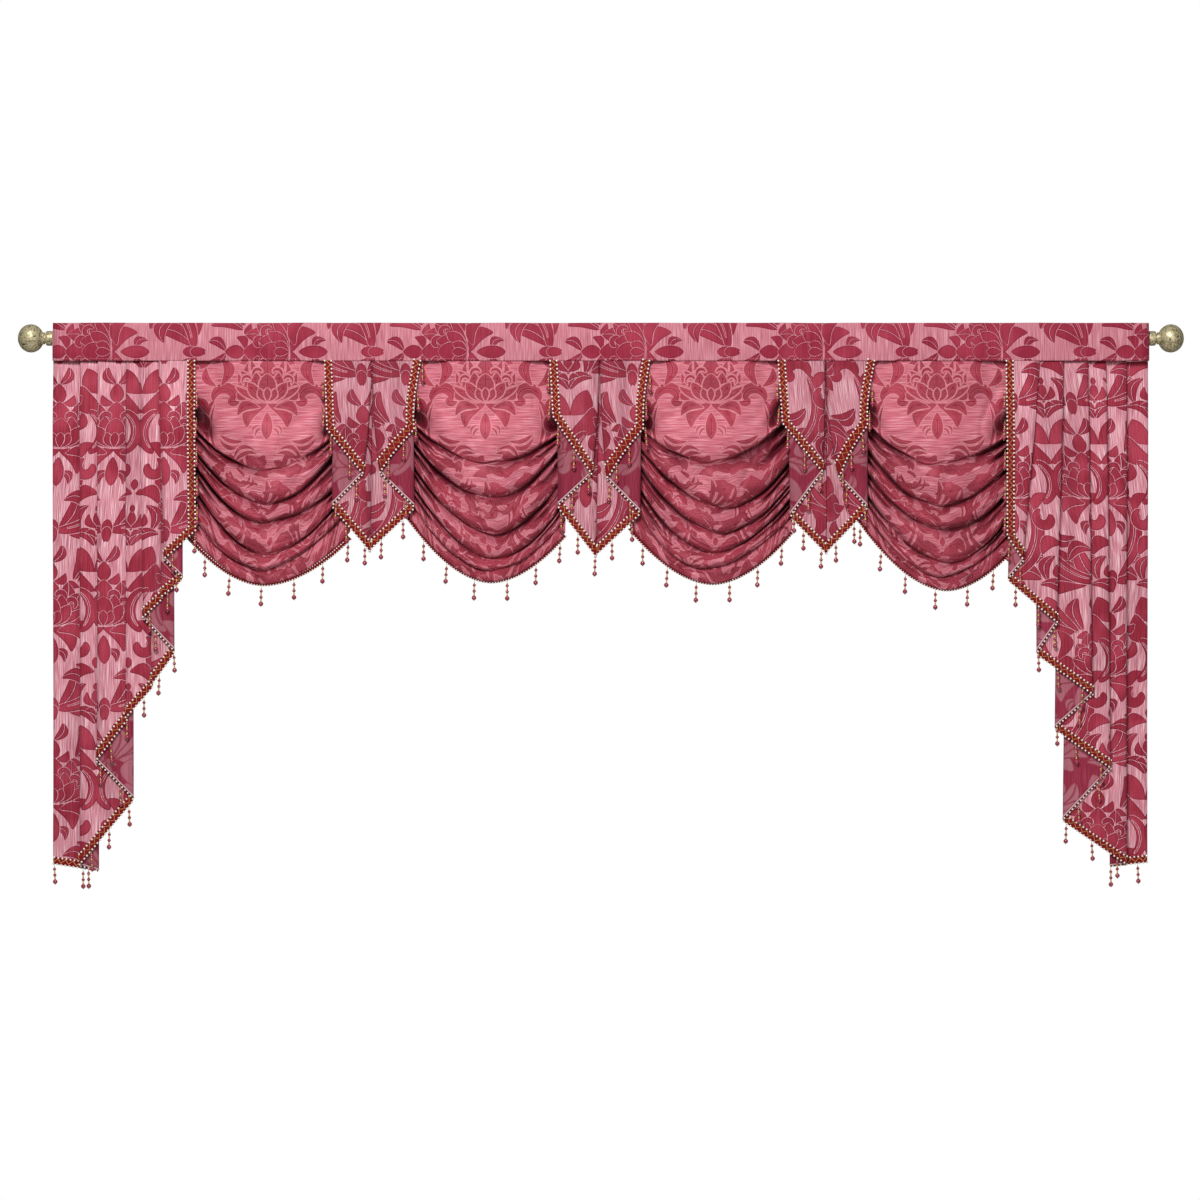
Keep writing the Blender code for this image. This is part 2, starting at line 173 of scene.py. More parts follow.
def add_socket(tree: NodeTree, *args: object, **settings: object) -> NodeSocket:
    """Adds a node as add_node does, and returns its first output."""
    return add_node(tree, *args, **settings).outputs[0]


@dataclass(frozen=True)
class Signal:
    """A number that flows through a node tree, written in sums like any number."""

    tree: NodeTree
    socket: NodeSocket

    def maths(self, operation: str, *others: "Signal | float") -> "Signal":
        """This signal after a Math node's operation with the others."""
        inputs = dict(enumerate((self, *others)))
        total = add_socket(self.tree, "ShaderNodeMath", inputs, operation=operation)
        return Signal(self.tree, total)

    def __add__(self, other: "Signal | float") -> "Signal":
        """The sum."""
        return self.maths("ADD", other)

    def __sub__(self, other: "Signal | float") -> "Signal":
        """The difference."""
        return self.maths("SUBTRACT", other)

    def __rsub__(self, other: float) -> "Signal":
        """A number less this signal."""
        return self.maths("MULTIPLY_ADD", -1.0, other)

    def __mul__(self, other: "Signal | float") -> "Signal":
        """The product."""
        return self.maths("MULTIPLY", other)

    def __truediv__(self, other: "Signal | float") -> "Signal":
        """The quotient."""
        return self.maths("DIVIDE", other)

    def __pow__(self, other: "Signal | float") -> "Signal":
        """The power."""
        return self.maths("POWER", other)

    def __abs__(self) -> "Signal":
        """The size without the sign."""
        return self.maths("ABSOLUTE")

    def step(self, low: float, high: float) -> "Signal":
        """Runs smoothly from 0 at low to 1 at high."""
        inputs = {"Value": self, "From Min": low, "From Max": high}
        share = add_socket(self.tree, "ShaderNodeMapRange", inputs, interpolation_type="SMOOTHSTEP")
        return Signal(self.tree, share)

    def blend(self, first: str | NodeSocket, second: str | NodeSocket) -> NodeSocket:
        """The colour that is this share of the way from the first to the second."""
        inputs = {"Factor": self, 6: first, 7: second}
        return add_node(self.tree, "ShaderNodeMix", inputs, data_type="RGBA").outputs[2]


def new_group(
    name: str, kind: str, inputs: dict[str, str], outputs: dict[str, str]
) -> tuple[NodeTree, dict[str, Signal], Node]:
    """Starts a node group.

    Args:
        name: The group's name.
        kind: The type of its tree.
        inputs: The socket type of each input, by its name.
        outputs: The socket type of each output, by its name.

    Returns:
        The tree, its inputs by name, and its output node.
    """
    tree = bpy.data.node_groups.new(name, kind)
    for way, sockets in (("INPUT", inputs), ("OUTPUT", outputs)):
        for label, socket in sockets.items():
            tree.interface.new_socket(label, in_out=way, socket_type=socket)
    given = add_node(tree, "NodeGroupInput")
    signals = {label: Signal(tree, given.outputs[label]) for label in inputs}
    return tree, signals, add_node(tree, "NodeGroupOutput")


FLOAT, VECTOR, GEOMETRY = "NodeSocketFloat", "NodeSocketVector", "NodeSocketGeometry"


# --- The damask's figure -----------------------------------------------------------------------


class Petal(NamedTuple):
    """A petal or leaf of the figure, in millimetres and degrees, from its base.

    A skew above 0 makes it widest near its tip, and a blunt one has round ends. A vein is half
    the width of the light line down its middle. One that melts has no light line round it.
    """

    x: float
    y: float
    angle: float
    length: float
    width: float
    bend: float = 0.0
    skew: float = 0.6
    blunt: float = 0.8
    vein: float = -9.0
    melts: bool = False


class Scroll(NamedTuple):
    """A scroll of the figure: an arc of a swelling width round a centre, turning by its sweep."""

    x: float
    y: float
    radius: float
    start: float
    sweep: float
    width: float
    grow: float = 0.0
    skew: float = 0.0
    blunt: float = 0.6
    vein: float = -9.0
    melts: bool = False


# A lotus framed by two scrolls with leaves outside them, and beside it, half a repeat across, two
# pairs of leaves over volutes and a tulip. They are drawn from the back to the front. Only the
# part between the two is listed, because the cloth mirrors it at both.
HALF_REPEAT = 192.0
FIGURE: tuple[Petal | Scroll, ...] = (
    Petal(36, -196, -16, 74, 30, 0.16, 0.7, 0.6),
    Petal(40, -192, 5, 100, 38, 0.2, 0.7, 0.6, 0.9),
    Petal(46, -186, 27, 112, 38, 0.16, 0.7, 0.6, 0.9),
    Petal(30, -192, 40, 76, 30, 0.16, 0.7, 0.6, 0.8),
    Petal(14, -190, 66, 88, 32, -0.14, 0.7, 0.6, 0.8),
    Petal(52, 104, 82, 74, 30, -0.2, 0.7, 0.6, 0.8),
    Petal(62, 100, 50, 78, 30, -0.16, 0.6, 0.6, 0.8),
    Petal(70, 100, 22, 48, 22, -0.2, 0.5, 0.7),
    Scroll(10, -60, 129, -90, 120, 27, 0, 0.0, 0.3),
    Scroll(96, 8, 28, -10, 226, 26, -7, 0.3, 0.45, melts=True),
    Petal(92, 2, 180, 28, 25, 0.0, 0.0, 0.5, melts=True),
    Scroll(10, -60, 126, -80, 110, 2.4, 0, 0.0, 0.3),
    Petal(116, 36, 62, 52, 20, -0.25, 0.4, 0.7),
    Petal(106, 38, 88, 66, 26, 0.3, 0.5, 0.6),
    Petal(192, 122, 126, 72, 40, 0.12, 0.4, 0.9),
    Petal(192, 78, 132, 82, 40, 0.2, 0.5, 0.7),
    Petal(140, 116, 196, 24, 17, 0.3, 0.3, 0.6),
    Scroll(132, 34, 54, 64, -124, 23, 0, 0.2, 0.4),
    Scroll(132, 34, 50, 56, -100, 2.2, 0, 0.0, 0.3),
    Petal(168, 10, 232, 46, 22, -0.2, 0.0, 0.7, melts=True),
    Scroll(158, -46, 21, 110, 290, 21, -9, 0.3, 0.5),
    Petal(192, -72, -90, 26, 15, 0, -0.3, 0.8),
    Petal(188, -104, 206, 54, 27, -0.3, -0.2, 0.6),
    Petal(154, -190, 76, 60, 24, 0.3, 0.4, 0.6, 0.7),
    Petal(192, -226, 152, 62, 22, -0.25, 0.3, 0.6, 0.7),
    Petal(192, -190, 90, 44, 17, 0, 0.9, 0.7),
    Petal(192, -184, 122, 38, 15, 0.25, 0.6, 0.7),
    Petal(192, -204, 160, 26, 10, -0.25, 0.4, 0.7),
    Petal(192, -148, 90, 17, 11, 0, 0, 0.6),
    Petal(112, -74, 196, 62, 27, 0.25, 0.3, 0.6, 0.8),
    Petal(78, -142, 158, 62, 26, -0.3, 0.4, 0.6, 0.8),
    Petal(0, -210, 90, 46, 22, 0, 0.5, 0.6),
    Petal(4, -216, 118, 40, 17, -0.2, 0.5, 0.6),
    Petal(4, 144, 62, 44, 20, -0.2, 0.5, 0.6, 0.7),
    Petal(0, 100, 90, 46, 28, 0, -0.3),
    Petal(5, 98, 36, 36, 17, -0.25),
    Petal(2, -56, -48, 38, 17, 0.35, 0.4, 0.6, 0.7),
    Petal(0, -22, -90, 66, 26, 0, 0.4, 0.7),
    Petal(0, -4, -50, 72, 30, 0.24, 0.7, 0.6),
    Petal(16, -12, -20, 56, 23, 0.28, 0.6, 0.6),
    Petal(0, 0, 6, 74, 27, 0.2, 0.7, 0.6),
    Petal(46, 6, 40, 30, 15, -0.2),
    Petal(30, 74, 20, 38, 18, 0.3),
    Petal(0, 0, 68, 106, 40, -0.12, vein=0.7),
    Petal(0, 0, 48, 98, 38, -0.06, vein=0.7),
    Petal(0, 0, 28, 84, 34, 0.06, vein=0.7),
    Scroll(46, 50, 12, -60, 262, 9, -4, 0.4, 0.5),
    Petal(0, 0, 90, 104, 44, 0, 0.7),
    Scroll(21, 66, 13, -70, 250, 10, -5, 0.4),
    Petal(0, 0, 70, 74, 28, -0.12),
    Petal(0, 0, 46, 64, 25, -0.06),
    Petal(0, 0, 90, 66, 38, 0, 0.4, 0.7),
    Petal(0, 0, 60, 38, 17, -0.1),
    Petal(0, 0, 90, 34, 16, 0, 0.8),
)
REPEAT = 406.0  # how far apart the figures stand along the cloth
LOWEST = -224.0  # where a repeat starts, below the lotus's heart
FULLNESS = 1.12  # how much wider the shapes are woven than they are drawn
LIGHT_EDGE = 1.5  # the light line round a shape that lies over another
GROUND_DEPTH = -20.0  # the figure's depth where nothing is drawn
LEAST_SWELL = 0.2


def stroke_group(form: type) -> NodeTree:
    """Makes the node group that lays one petal or scroll over the figure so far.

    Args:
        form: Petal or Scroll.

    Returns:
        The group. Its numbers say how deep a point lies inside a shape, in millimetres.
    """
    floats = ("Under", "Reach", "Half width", "Bend", "Slope", "Level", "Blunt", "Vein", "Melts")
    if form is Scroll:
        floats += ("Radius", "Growth")
    vectors = ("Place", "Location", "Rotation", "Scale")
    inputs = {**dict.fromkeys(floats, FLOAT), **dict.fromkeys(vectors, VECTOR)}
    name = f"damask {form.__name__.lower()}"
    tree, given, result = new_group(name, "ShaderNodeTree", inputs, {"Depth": FLOAT})
    place = {"Vector": given["Place"], **{label: given[label] for label in vectors[1:]}}
    local = add_socket(tree, "ShaderNodeMapping", place, vector_type="TEXTURE")
    axes = add_node(tree, "ShaderNodeSeparateXYZ", {0: local}).outputs
    along, across = Signal(tree, axes["X"]), Signal(tree, axes["Y"])
    if form is Scroll:
        distance = add_node(tree, "ShaderNodeVectorMath", {0: local}, operation="LENGTH")
        along = across.maths("ARCTAN2", along).maths("FLOORED_MODULO", math.tau) / given["Bend"]
        across = Signal(tree, distance.outputs["Value"])
    swell = along.maths("MULTIPLY_ADD", given["Slope"], given["Level"])
    swell = swell.maths("MAXIMUM", LEAST_SWELL)
    bow = along * (1 - along) * swell
    if form is Scroll:
        off = abs(across - along.maths("MULTIPLY_ADD", given["Growth"], given["Radius"]))
    else:
        off = abs(across - bow * given["Bend"]) * given["Reach"]
    width = bow.maths("MAXIMUM", 0.0) ** given["Blunt"] * given["Half width"]
    depth = (width - off).maths("MINIMUM", bow * given["Reach"] * 0.5)
    depth = depth.maths("MINIMUM", off - given["Vein"])
    edge = (given["Under"] + LIGHT_EDGE) * given["Melts"] - LIGHT_EDGE
    over = depth.maths("GREATER_THAN", edge)
    laid = over.maths("MULTIPLY_ADD", depth - given["Under"], given["Under"])
    feed(tree, result.inputs["Depth"], laid)
    return tree


def stroke_inputs(stroke: Petal | Scroll) -> dict[str, float | tuple]:
    """The values that a stroke's group takes."""
    values = {
        "Location": (stroke.x, stroke.y, 0),
        "Half width": stroke.width / 2 * FULLNESS,
        "Slope": 4 * stroke.skew,
        "Level": 4 - 2 * stroke.skew,
        "Blunt": stroke.blunt,
        "Vein": stroke.vein,
        "Melts": float(stroke.melts),
    }
    if isinstance(stroke, Petal):
        values |= {
            "Rotation": (0, 0, math.radians(stroke.angle)),
            "Scale": (stroke.length, stroke.length, 1),
            "Reach": stroke.length,
            "Bend": stroke.bend,
        }
    else:
        values |= {
            "Rotation": (0, 0, math.radians(stroke.start)),
            "Scale": (1, math.copysign(1, stroke.sweep), 1),
            "Reach": stroke.radius * math.radians(abs(stroke.sweep)),
            "Bend": math.radians(abs(stroke.sweep)),
            "Radius": stroke.radius,
            "Growth": stroke.grow,
        }
    return values


@lru_cache(maxsize=1)
def figure_group() -> NodeTree:
    """Makes the node group of the whole figure, repeated over the cloth.

    Returns:
        The group. It takes a place on the cloth in millimetres, and gives how deep that place
        lies inside the figure: below 0 it is the ground.
    """
    tree, given, result = new_group(
        "damask figure", "ShaderNodeTree", {"Place": VECTOR}, {"Depth": FLOAT}
    )
    forms = {form: stroke_group(form) for form in (Petal, Scroll)}
    axes = add_node(tree, "ShaderNodeSeparateXYZ", {0: given["Place"]}).outputs
    x, y = Signal(tree, axes["X"]), Signal(tree, axes["Y"])
    column = (x / (2 * HALF_REPEAT)).maths("ROUND")
    side = abs(x - column * (2 * HALF_REPEAT))
    height = (y - LOWEST).maths("FLOORED_MODULO", REPEAT) + LOWEST
    place = add_socket(tree, "ShaderNodeCombineXYZ", {"X": side, "Y": height})
    depth: Signal | float = GROUND_DEPTH
    for stroke in FIGURE:
        inputs = {"Under": depth, "Place": place, **stroke_inputs(stroke)}
        laid = add_socket(tree, "ShaderNodeGroup", inputs, node_tree=forms[type(stroke)])
        depth = Signal(tree, laid)
    feed(tree, result.inputs["Depth"], depth)
    return tree


# --- Finishes ----------------------------------------------------------------------------------


def new_finish(name: str) -> tuple[Material, NodeTree, Node]:
    """Starts a material.

    Args:
        name: The material's name.

    Returns:
        The material, its tree and its Principled shader.
    """
    material = bpy.data.materials.new(name)
    material.use_nodes = True
    return material, material.node_tree, material.node_tree.nodes["Principled BSDF"]


def set_shader(tree: NodeTree, shader: Node, **inputs: object) -> None:
    """Sets or links a shader's inputs, given with _ for the spaces in their names."""
    for label, value in inputs.items():
        feed(tree, shader.inputs[label.replace("_", " ")], value)


def noise_signal(
    tree: NodeTree, place: object, sizes: Sequence[float], detail: float = 2.0
) -> Signal:
    """Noise whose grains have the given sizes along x, y and z, in the place's own units."""
    scaled = {"Vector": place, "Scale": tuple(1 / s for s in sizes)}
    stretched = add_socket(tree, "ShaderNodeMapping", scaled)
    grain = {"Vector": stretched, "Scale": 1.0, "Detail": detail}
    return Signal(tree, add_socket(tree, "ShaderNodeTexNoise", grain))


PAINTED_SHADE_NAME = "painted_shade"  # the attribute of painted shade: how much darker a place on the cloth is painted, in its creases, along fold lines, under the seam and lower down
SILK_LIGHT = "#f49aa8"  # the colour of the light that the metallic thread throws back
LINING = 2.6  # from line to line where the satin is lined, coarser than its threads, to show
BROAD = 7  # how much broader than its slubs the streaks of a ground are
LIGHT_DRIFT = (90.0, 90.0, 90.0)  # grain sizes of the painted light that drifts over the satin
FLOATS = (2.2, 2.2, 2.2)  # and of the satin's own floats, which take some of its light
# Where folds bring figures together: the grain sizes of the patches of satin, the depth that the
# noise gives them, how much less of it the cloth above has, and over what height that changes.
PATCH, PATCH_DEPTH, PATCH_LESS, PATCH_RAMP = (34.0, 24.0, 1.0), 110, 30, 30


class Streaks(Enum):
    """Which way the slubs of the ground run on a piece, as grain sizes in millimetres."""

    UPRIGHT = (1.7, 60.0, 1.0)
    LEVEL = (60.0, 1.7, 1.0)


@dataclass(frozen=True)
class Damask:
    """Damask of polyester and a little metallic thread: a streaky ground with satin figures.

    The eye sees fine slubs that run with the cloth, a soft sheen on the figures, and a darker
    thread round each of them.
    """

    name: str
    ground: str
    pale: str
    dusk: str
    figure: str
    satin_slub_and_sheen: str
    outline: str
    streaks: Streaks
    fade: float = 0.0  # how much of the figure melts into the ground
    engraved: float = 0.0  # how strongly the satin is lined, along the figure's outlines
    roughness: float = 0.52
    gloss: float = 0.3
    shade: str = "#4e0c1c"  # the colour of painted shade in creases; the satin's floats are dulled towards it too
    gathered_below: float | None = None  # where folds start to bring many figures together

    def depth(self, tree: NodeTree, place: NodeSocket) -> Signal:
        """How deep a place lies inside the figure, or inside a patch of gathered ones."""
        figure = {"Place": place}
        inside = add_socket(tree, "ShaderNodeGroup", figure, node_tree=figure_group())
        depth = Signal(tree, inside)
        if self.gathered_below is None:
            return depth
        axes = add_node(tree, "ShaderNodeSeparateXYZ", {0: place}).outputs
        height = Signal(tree, axes["Y"])
        above = height.step(self.gathered_below - PATCH_RAMP, self.gathered_below + PATCH_RAMP)
        patches = (noise_signal(tree, place, PATCH, 0.8) - 0.5) * PATCH_DEPTH - above * PATCH_LESS
        return depth.maths("MAXIMUM", patches)

    def material(self) -> Material:
        """Builds the material on the piece's own cloth coordinates."""
        material, tree, shader = new_finish(self.name)
        metres = add_socket(tree, "ShaderNodeUVMap", uv_map=UV_NAME)
        scale = {0: metres, 1: PER_METRE}
        place = add_socket(tree, "ShaderNodeVectorMath", scale, operation="MULTIPLY")
        depth = self.depth(tree, place)
        slubs = self.streaks.value
        # The ground: pale and dusky slubs.
        fine = noise_signal(tree, place, slubs, 3.0)
        broad = noise_signal(tree, place, [BROAD * s for s in slubs], 1.0)
        ground = fine.step(0.49, 0.66).blend(self.ground, self.pale)
        ground = (fine.step(0.5, 0.32) * 0.9).blend(ground, self.dusk)
        # The satin: paler with its slubs and with painted light in drifts, dulled by its floats,
        # lined, and rimmed by a thread.
        painted_light = noise_signal(tree, place, LIGHT_DRIFT, 1.0)
        lit = fine.step(0.35, 0.7) * 0.5 + painted_light.step(0.42, 0.66) * 0.5
        satin = lit.blend(self.figure, self.satin_slub_and_sheen)
        floats = noise_signal(tree, place, FLOATS, 1.0)
        satin = (floats.step(0.52, 0.7) * 0.3).blend(satin, self.shade)
        lines = (depth * (math.tau / LINING)).maths("SINE").step(0.1, 0.9) * self.engraved
        satin = lines.blend(satin, self.pale)
        rim = depth.step(0.1, 0.5) * depth.step(2.6, 1.2)
        leaf = (rim * 0.75).blend(satin, self.outline)
        # Both, with broad streaks, and the painted shade of creases, fold lines and the seam over
        # them.
        colour = (depth.step(-0.3, 0.3) * (1 - self.fade)).blend(ground, leaf)
        colour = (broad.step(0.5, 0.8) * 0.2).blend(colour, self.dusk)
        painted_shade = add_node(tree, "ShaderNodeAttribute", attribute_name=PAINTED_SHADE_NAME).outputs["Fac"]
        colour = Signal(tree, painted_shade).blend(colour, self.shade)
        thread = noise_signal(tree, place, [0.6 * s for s in slubs], 2.0)
        relief = {"Strength": 0.25, "Distance": 0.6 * MM, "Height": thread}
        set_shader(
            tree, shader, Base_Color=colour, Roughness=fine * 0.12 + (self.roughness - 0.06),
            Normal=add_socket(tree, "ShaderNodeBump", relief), Sheen_Weight=0.08,
            Sheen_Roughness=0.4, Specular_IOR_Level=self.gloss, IOR=1.5, Specular_Tint=SILK_LIGHT,
        )
        return material


@dataclass(frozen=True)
class Trimming:
    """Any finish of the trimmings and the metal: one colour, mottled by a second one.

    The grain is the size of the mottling in millimetres, and the relief how deep it is.
    """

    name: str
    colour: str
    mottle: str
    grain: float
    roughness: float
    metallic: float = 0.0
    relief: float = 0.0
    sheen: float = 0.0
    coat: float = 0.0
    ior: float = 1.5
    pits: str = ""  # the colour of small pits in it

    def material(self) -> Material:
        """Builds the material on Object coordinates."""
        material, tree, shader = new_finish(self.name)
        metres = add_node(tree, "ShaderNodeTexCoord").outputs["Object"]
        scale = {0: metres, 1: PER_METRE}
        place = add_socket(tree, "ShaderNodeVectorMath", scale, operation="MULTIPLY")
        mottling = noise_signal(tree, place, (self.grain,) * 3, 4.0)
        colour = mottling.step(0.4, 0.65).blend(self.colour, self.mottle)
        if self.pits:
            pitting = noise_signal(tree, place, (self.grain * 1.1,) * 3, 0.0)
            colour = pitting.step(0.7, 0.77).blend(colour, self.pits)
        set_shader(
            tree, shader, Base_Color=colour,
            Roughness=mottling * 0.2 + (self.roughness - 0.1), Metallic=self.metallic,
            Sheen_Weight=self.sheen, Coat_Weight=self.coat, IOR=self.ior,
        )
        if self.relief:
            relief = {"Strength": 0.6, "Distance": self.relief * MM, "Height": mottling}
            set_shader(tree, shader, Normal=add_socket(tree, "ShaderNodeBump", relief))
        return material


@dataclass(frozen=True)
class BraidRed:
    """Rayon gimp braid: fine ribs across a deep red band, with painted shade in the grooves between
    them, and a dull silky sheen.
    """

    name: str = "rayon gimp braid, deep red"
    colour: str = "#9e0c1f"
    # the painted shade in the grooves between the ribs
    groove: str = "#5e040f"
    rib: float = 1.7

    def material(self) -> Material:
        """Builds the material on the band's own coordinates, as ribs across it."""
        material, tree, shader = new_finish(self.name)
        uv = add_socket(tree, "ShaderNodeUVMap", uv_map=UV_NAME)
        along = Signal(tree, add_socket(tree, "ShaderNodeSeparateXYZ", {0: uv}))
        ribs = (along * (math.tau / (self.rib * MM))).maths("SINE") * 0.5 + 0.5
        relief = {"Strength": 0.7, "Distance": 0.6 * MM, "Height": ribs}
        # The grooves between the ribs are painted in shade, under the ribs' bump.
        set_shader(
            tree, shader, Base_Color=ribs.step(0.1, 0.7).blend(self.groove, self.colour),
            Roughness=0.6, Specular_IOR_Level=0.25,
            Normal=add_socket(tree, "ShaderNodeBump", relief),
        )
        return material


class Finish(Enum):
    """Every finish of the drape."""

    # Pale slubs run down the cloth, under crimson satin with a darker rim.
    HANGING = Damask(
        "satin damask, rose, hung upright", "#e295a3", "#fcd2d9", "#ad6072", "#962538", "#c64c61",
        "#661028", Streaks.UPRIGHT,
    )
    # The slubs run level, and the satin shines more, with pale lines on it and round it.
    DRAPED = Damask(
        "satin damask, rose, cut across", "#d26e7e", "#f0a7b2", "#9a3c52", "#8a162d", "#bc384f",
        "#f4a6b0", Streaks.LEVEL, engraved=0.28, roughness=0.4, gloss=0.36, shade="#560e1e",
        gathered_below=-110.0,
    )
    # The figures lie on their side over level slubs, a little duller.
    HEADING = Damask(
        "satin damask, rose, turned on its side", "#cc7d8a", "#e4a3ae", "#a85c6b", "#902037",
        "#b43e54", "#6a1128", Streaks.LEVEL,
    )
    # The back: crimson, with the figures faintly pale.
    REVERSE = Damask(
        "damask's reverse, rose on crimson", "#9a3047", "#aa4459", "#84283d", "#c98490", "#d298a3",
        "#8e3a4c", Streaks.UPRIGHT, fade=0.45, roughness=0.62,
    )
    # A deep red band that looks ribbed and soft.
    BAND = BraidRed()
    # A flat pale line where an edge turns over.
    TAPE = Trimming("woven hem tape, pale rose", "#d3a4ad", "#e2c0c6", 1.5, 0.7, sheen=0.3)
    # A row of nearly white dots with small highlights.
    PEARL = Trimming("pearled seed beads, ivory", "#fffdf6", "#fbf0dc", 2.0, 0.25, coat=0.3)
    # A thin orange line that glints as it turns.
    CORD = Trimming("twisted lurex cord, orange gold", "#e6983e", "#f6c474", 1.2, 0.45, 0.2)
    # Small dark sparks of crimson with sharp highlights, and paler ones between them.
    RUBY = Trimming("pressed glass beads, crimson", "#9e2e45", "#b44a60", 3.0, 0.16, coat=0.6)
    GOLD = Trimming("plated beads, pale gold", "#f0ca80", "#d9a650", 2.0, 0.3, 0.3)
    # Thin lines without a shine of their own.
    THREAD = Trimming("spun thread, dull gold", "#b59a6e", "#9b7f58", 1.0, 0.7)
    STITCH = Trimming("sewing thread, rose", "#e3a9b2", "#cf8d99", 1.0, 0.6, sheen=0.2)
    # A broken champagne sheen, mottled and pitted with dark specks.
    LEAF = Trimming(
        "champagne metal leaf, aged", "#ded1ac", "#a39668", 5.0, 0.44, 0.5, relief=0.6,
        pits="#3c3524",
    )


@lru_cache(maxsize=None)
def finish_material(finish: Finish) -> Material:
    """The material of a finish, built once."""
    return finish.value.material()


# --- Meshes and pieces -------------------------------------------------------------------------


def dress(piece: Object, slot: Slot, *nodes: str) -> Object:
    """Puts a finished piece on the drape.

    Args:
        piece: The finished piece.
        slot: The material slot that it stands for; not used.
        nodes: The solids that it stands for.

    Returns:
        The same piece.
    """
    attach(piece, BODY)
    if nodes:
        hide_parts(*nodes)
    log.info("%s: %d faces", piece.name, len(piece.data.polygons))
    return piece


def link_object(name: str, data: ID) -> Object:
    """A new object in the scene."""
    ob = bpy.data.objects.new(name, data)
    bpy.context.scene.collection.objects.link(ob)
    return ob


def new_object(
    name: str,
    points: Sequence[Sequence[float]],
    faces: Sequence[Sequence[int]] = (),
    edges: Sequence[tuple[int, int]] = (),
    finishes: Sequence[Finish] = (),
) -> Object:
    """A smooth mesh object from points in millimetres.

    Args:
        name: The object's name.
        points: The vertices.
        faces: The faces, as numbers of points.
        edges: Loose edges, where there are no faces.
        finishes: The finishes of its material slots.

    Returns:
        The object, linked to the scene.
    """
    mesh = bpy.data.meshes.new(name)
    mesh.from_pydata([Vector(p) * MM for p in points], edges, faces)
    mesh.polygons.foreach_set("use_smooth", [True] * len(mesh.polygons))
    for finish in finishes:
        mesh.materials.append(finish_material(finish))
    return link_object(name, mesh)


def grid_faces(rows: int, columns: int, flip: bool = False, closed: bool = False) -> list[tuple]:
    """The quads of a grid whose points are listed row by row.

    Args:
        rows: The number of rows.
        columns: The number of points in a row.
        flip: Whether the faces turn the other way.
        closed: Whether each row is a ring.

    Returns:
        The faces.
    """
    faces = []
    for r in range(rows - 1):
        for c in range(columns if closed else columns - 1):
            after = (c + 1) % columns
            quad = (r * columns + c, (r + 1) * columns + c, (r + 1) * columns + after)
            face = (*quad, r * columns + after)
            faces.append(face[::-1] if flip else face)
    return faces


def set_cloth_map(ob: Object, places: Sequence[Pair]) -> None:
    """Gives each vertex its place on the flat cloth, in millimetres, as a UV map in metres."""
    layer = ob.data.uv_layers.new(name=UV_NAME)
    flat = []
    for loop in ob.data.loops:
        u, v = places[loop.vertex_index]
        flat += (u * MM, v * MM)
    layer.data.foreach_set("uv", flat)


def runs(points: Sequence[Sequence[float]]) -> list[float]:
    """How far along a line each of its points lies."""
    gone = [0.0]
    for a, b in zip(points, points[1:]):
        gone.append(gone[-1] + math.dist(a, b))
    return gone


def new_cloth(
    name: str, node: str, finish: Finish, grid: tuple[int, int], points: Sequence[Sequence[float]],
    places: Sequence[Pair], painted_shades: Sequence[float] = (), flip: bool = False,
    offset: float = 0.0,
) -> Object:
    """Makes a cloth with its thickness and its reverse, and puts it on the drape.

    Args:
        name: The object's name.
        node: The solid that the cloth stands for.
        finish: The finish of its face.
        grid: How many rows of points it has, and how many in a row.
        points: The points, row by row, in millimetres.
        places: The place of each point on the flat cloth, in millimetres.
        painted_shades: How much painted shade each point has, from 0 to 1.
        flip: Whether the faces turn the other way.
        offset: Which way it is thickened: 0 both ways, -1 inwards.

    Returns:
        The cloth.
    """
    cloth = new_object(
        name, points, grid_faces(*grid, flip=flip), finishes=[finish, Finish.REVERSE]
    )
    set_cloth_map(cloth, places)
    if painted_shades:
        shades = cloth.data.attributes.new(PAINTED_SHADE_NAME, "FLOAT", "POINT")
        shades.data.foreach_set("value", painted_shades)
    shell = cloth.modifiers.new("thickness", "SOLIDIFY")
    shell.thickness = CLOTH * MM
    shell.offset = offset
    shell.material_offset = 1
    shell.use_quality_normals = True
    return dress(cloth, Slot.DAMASK, node)


# --- What repeats ------------------------------------------------------------------------------


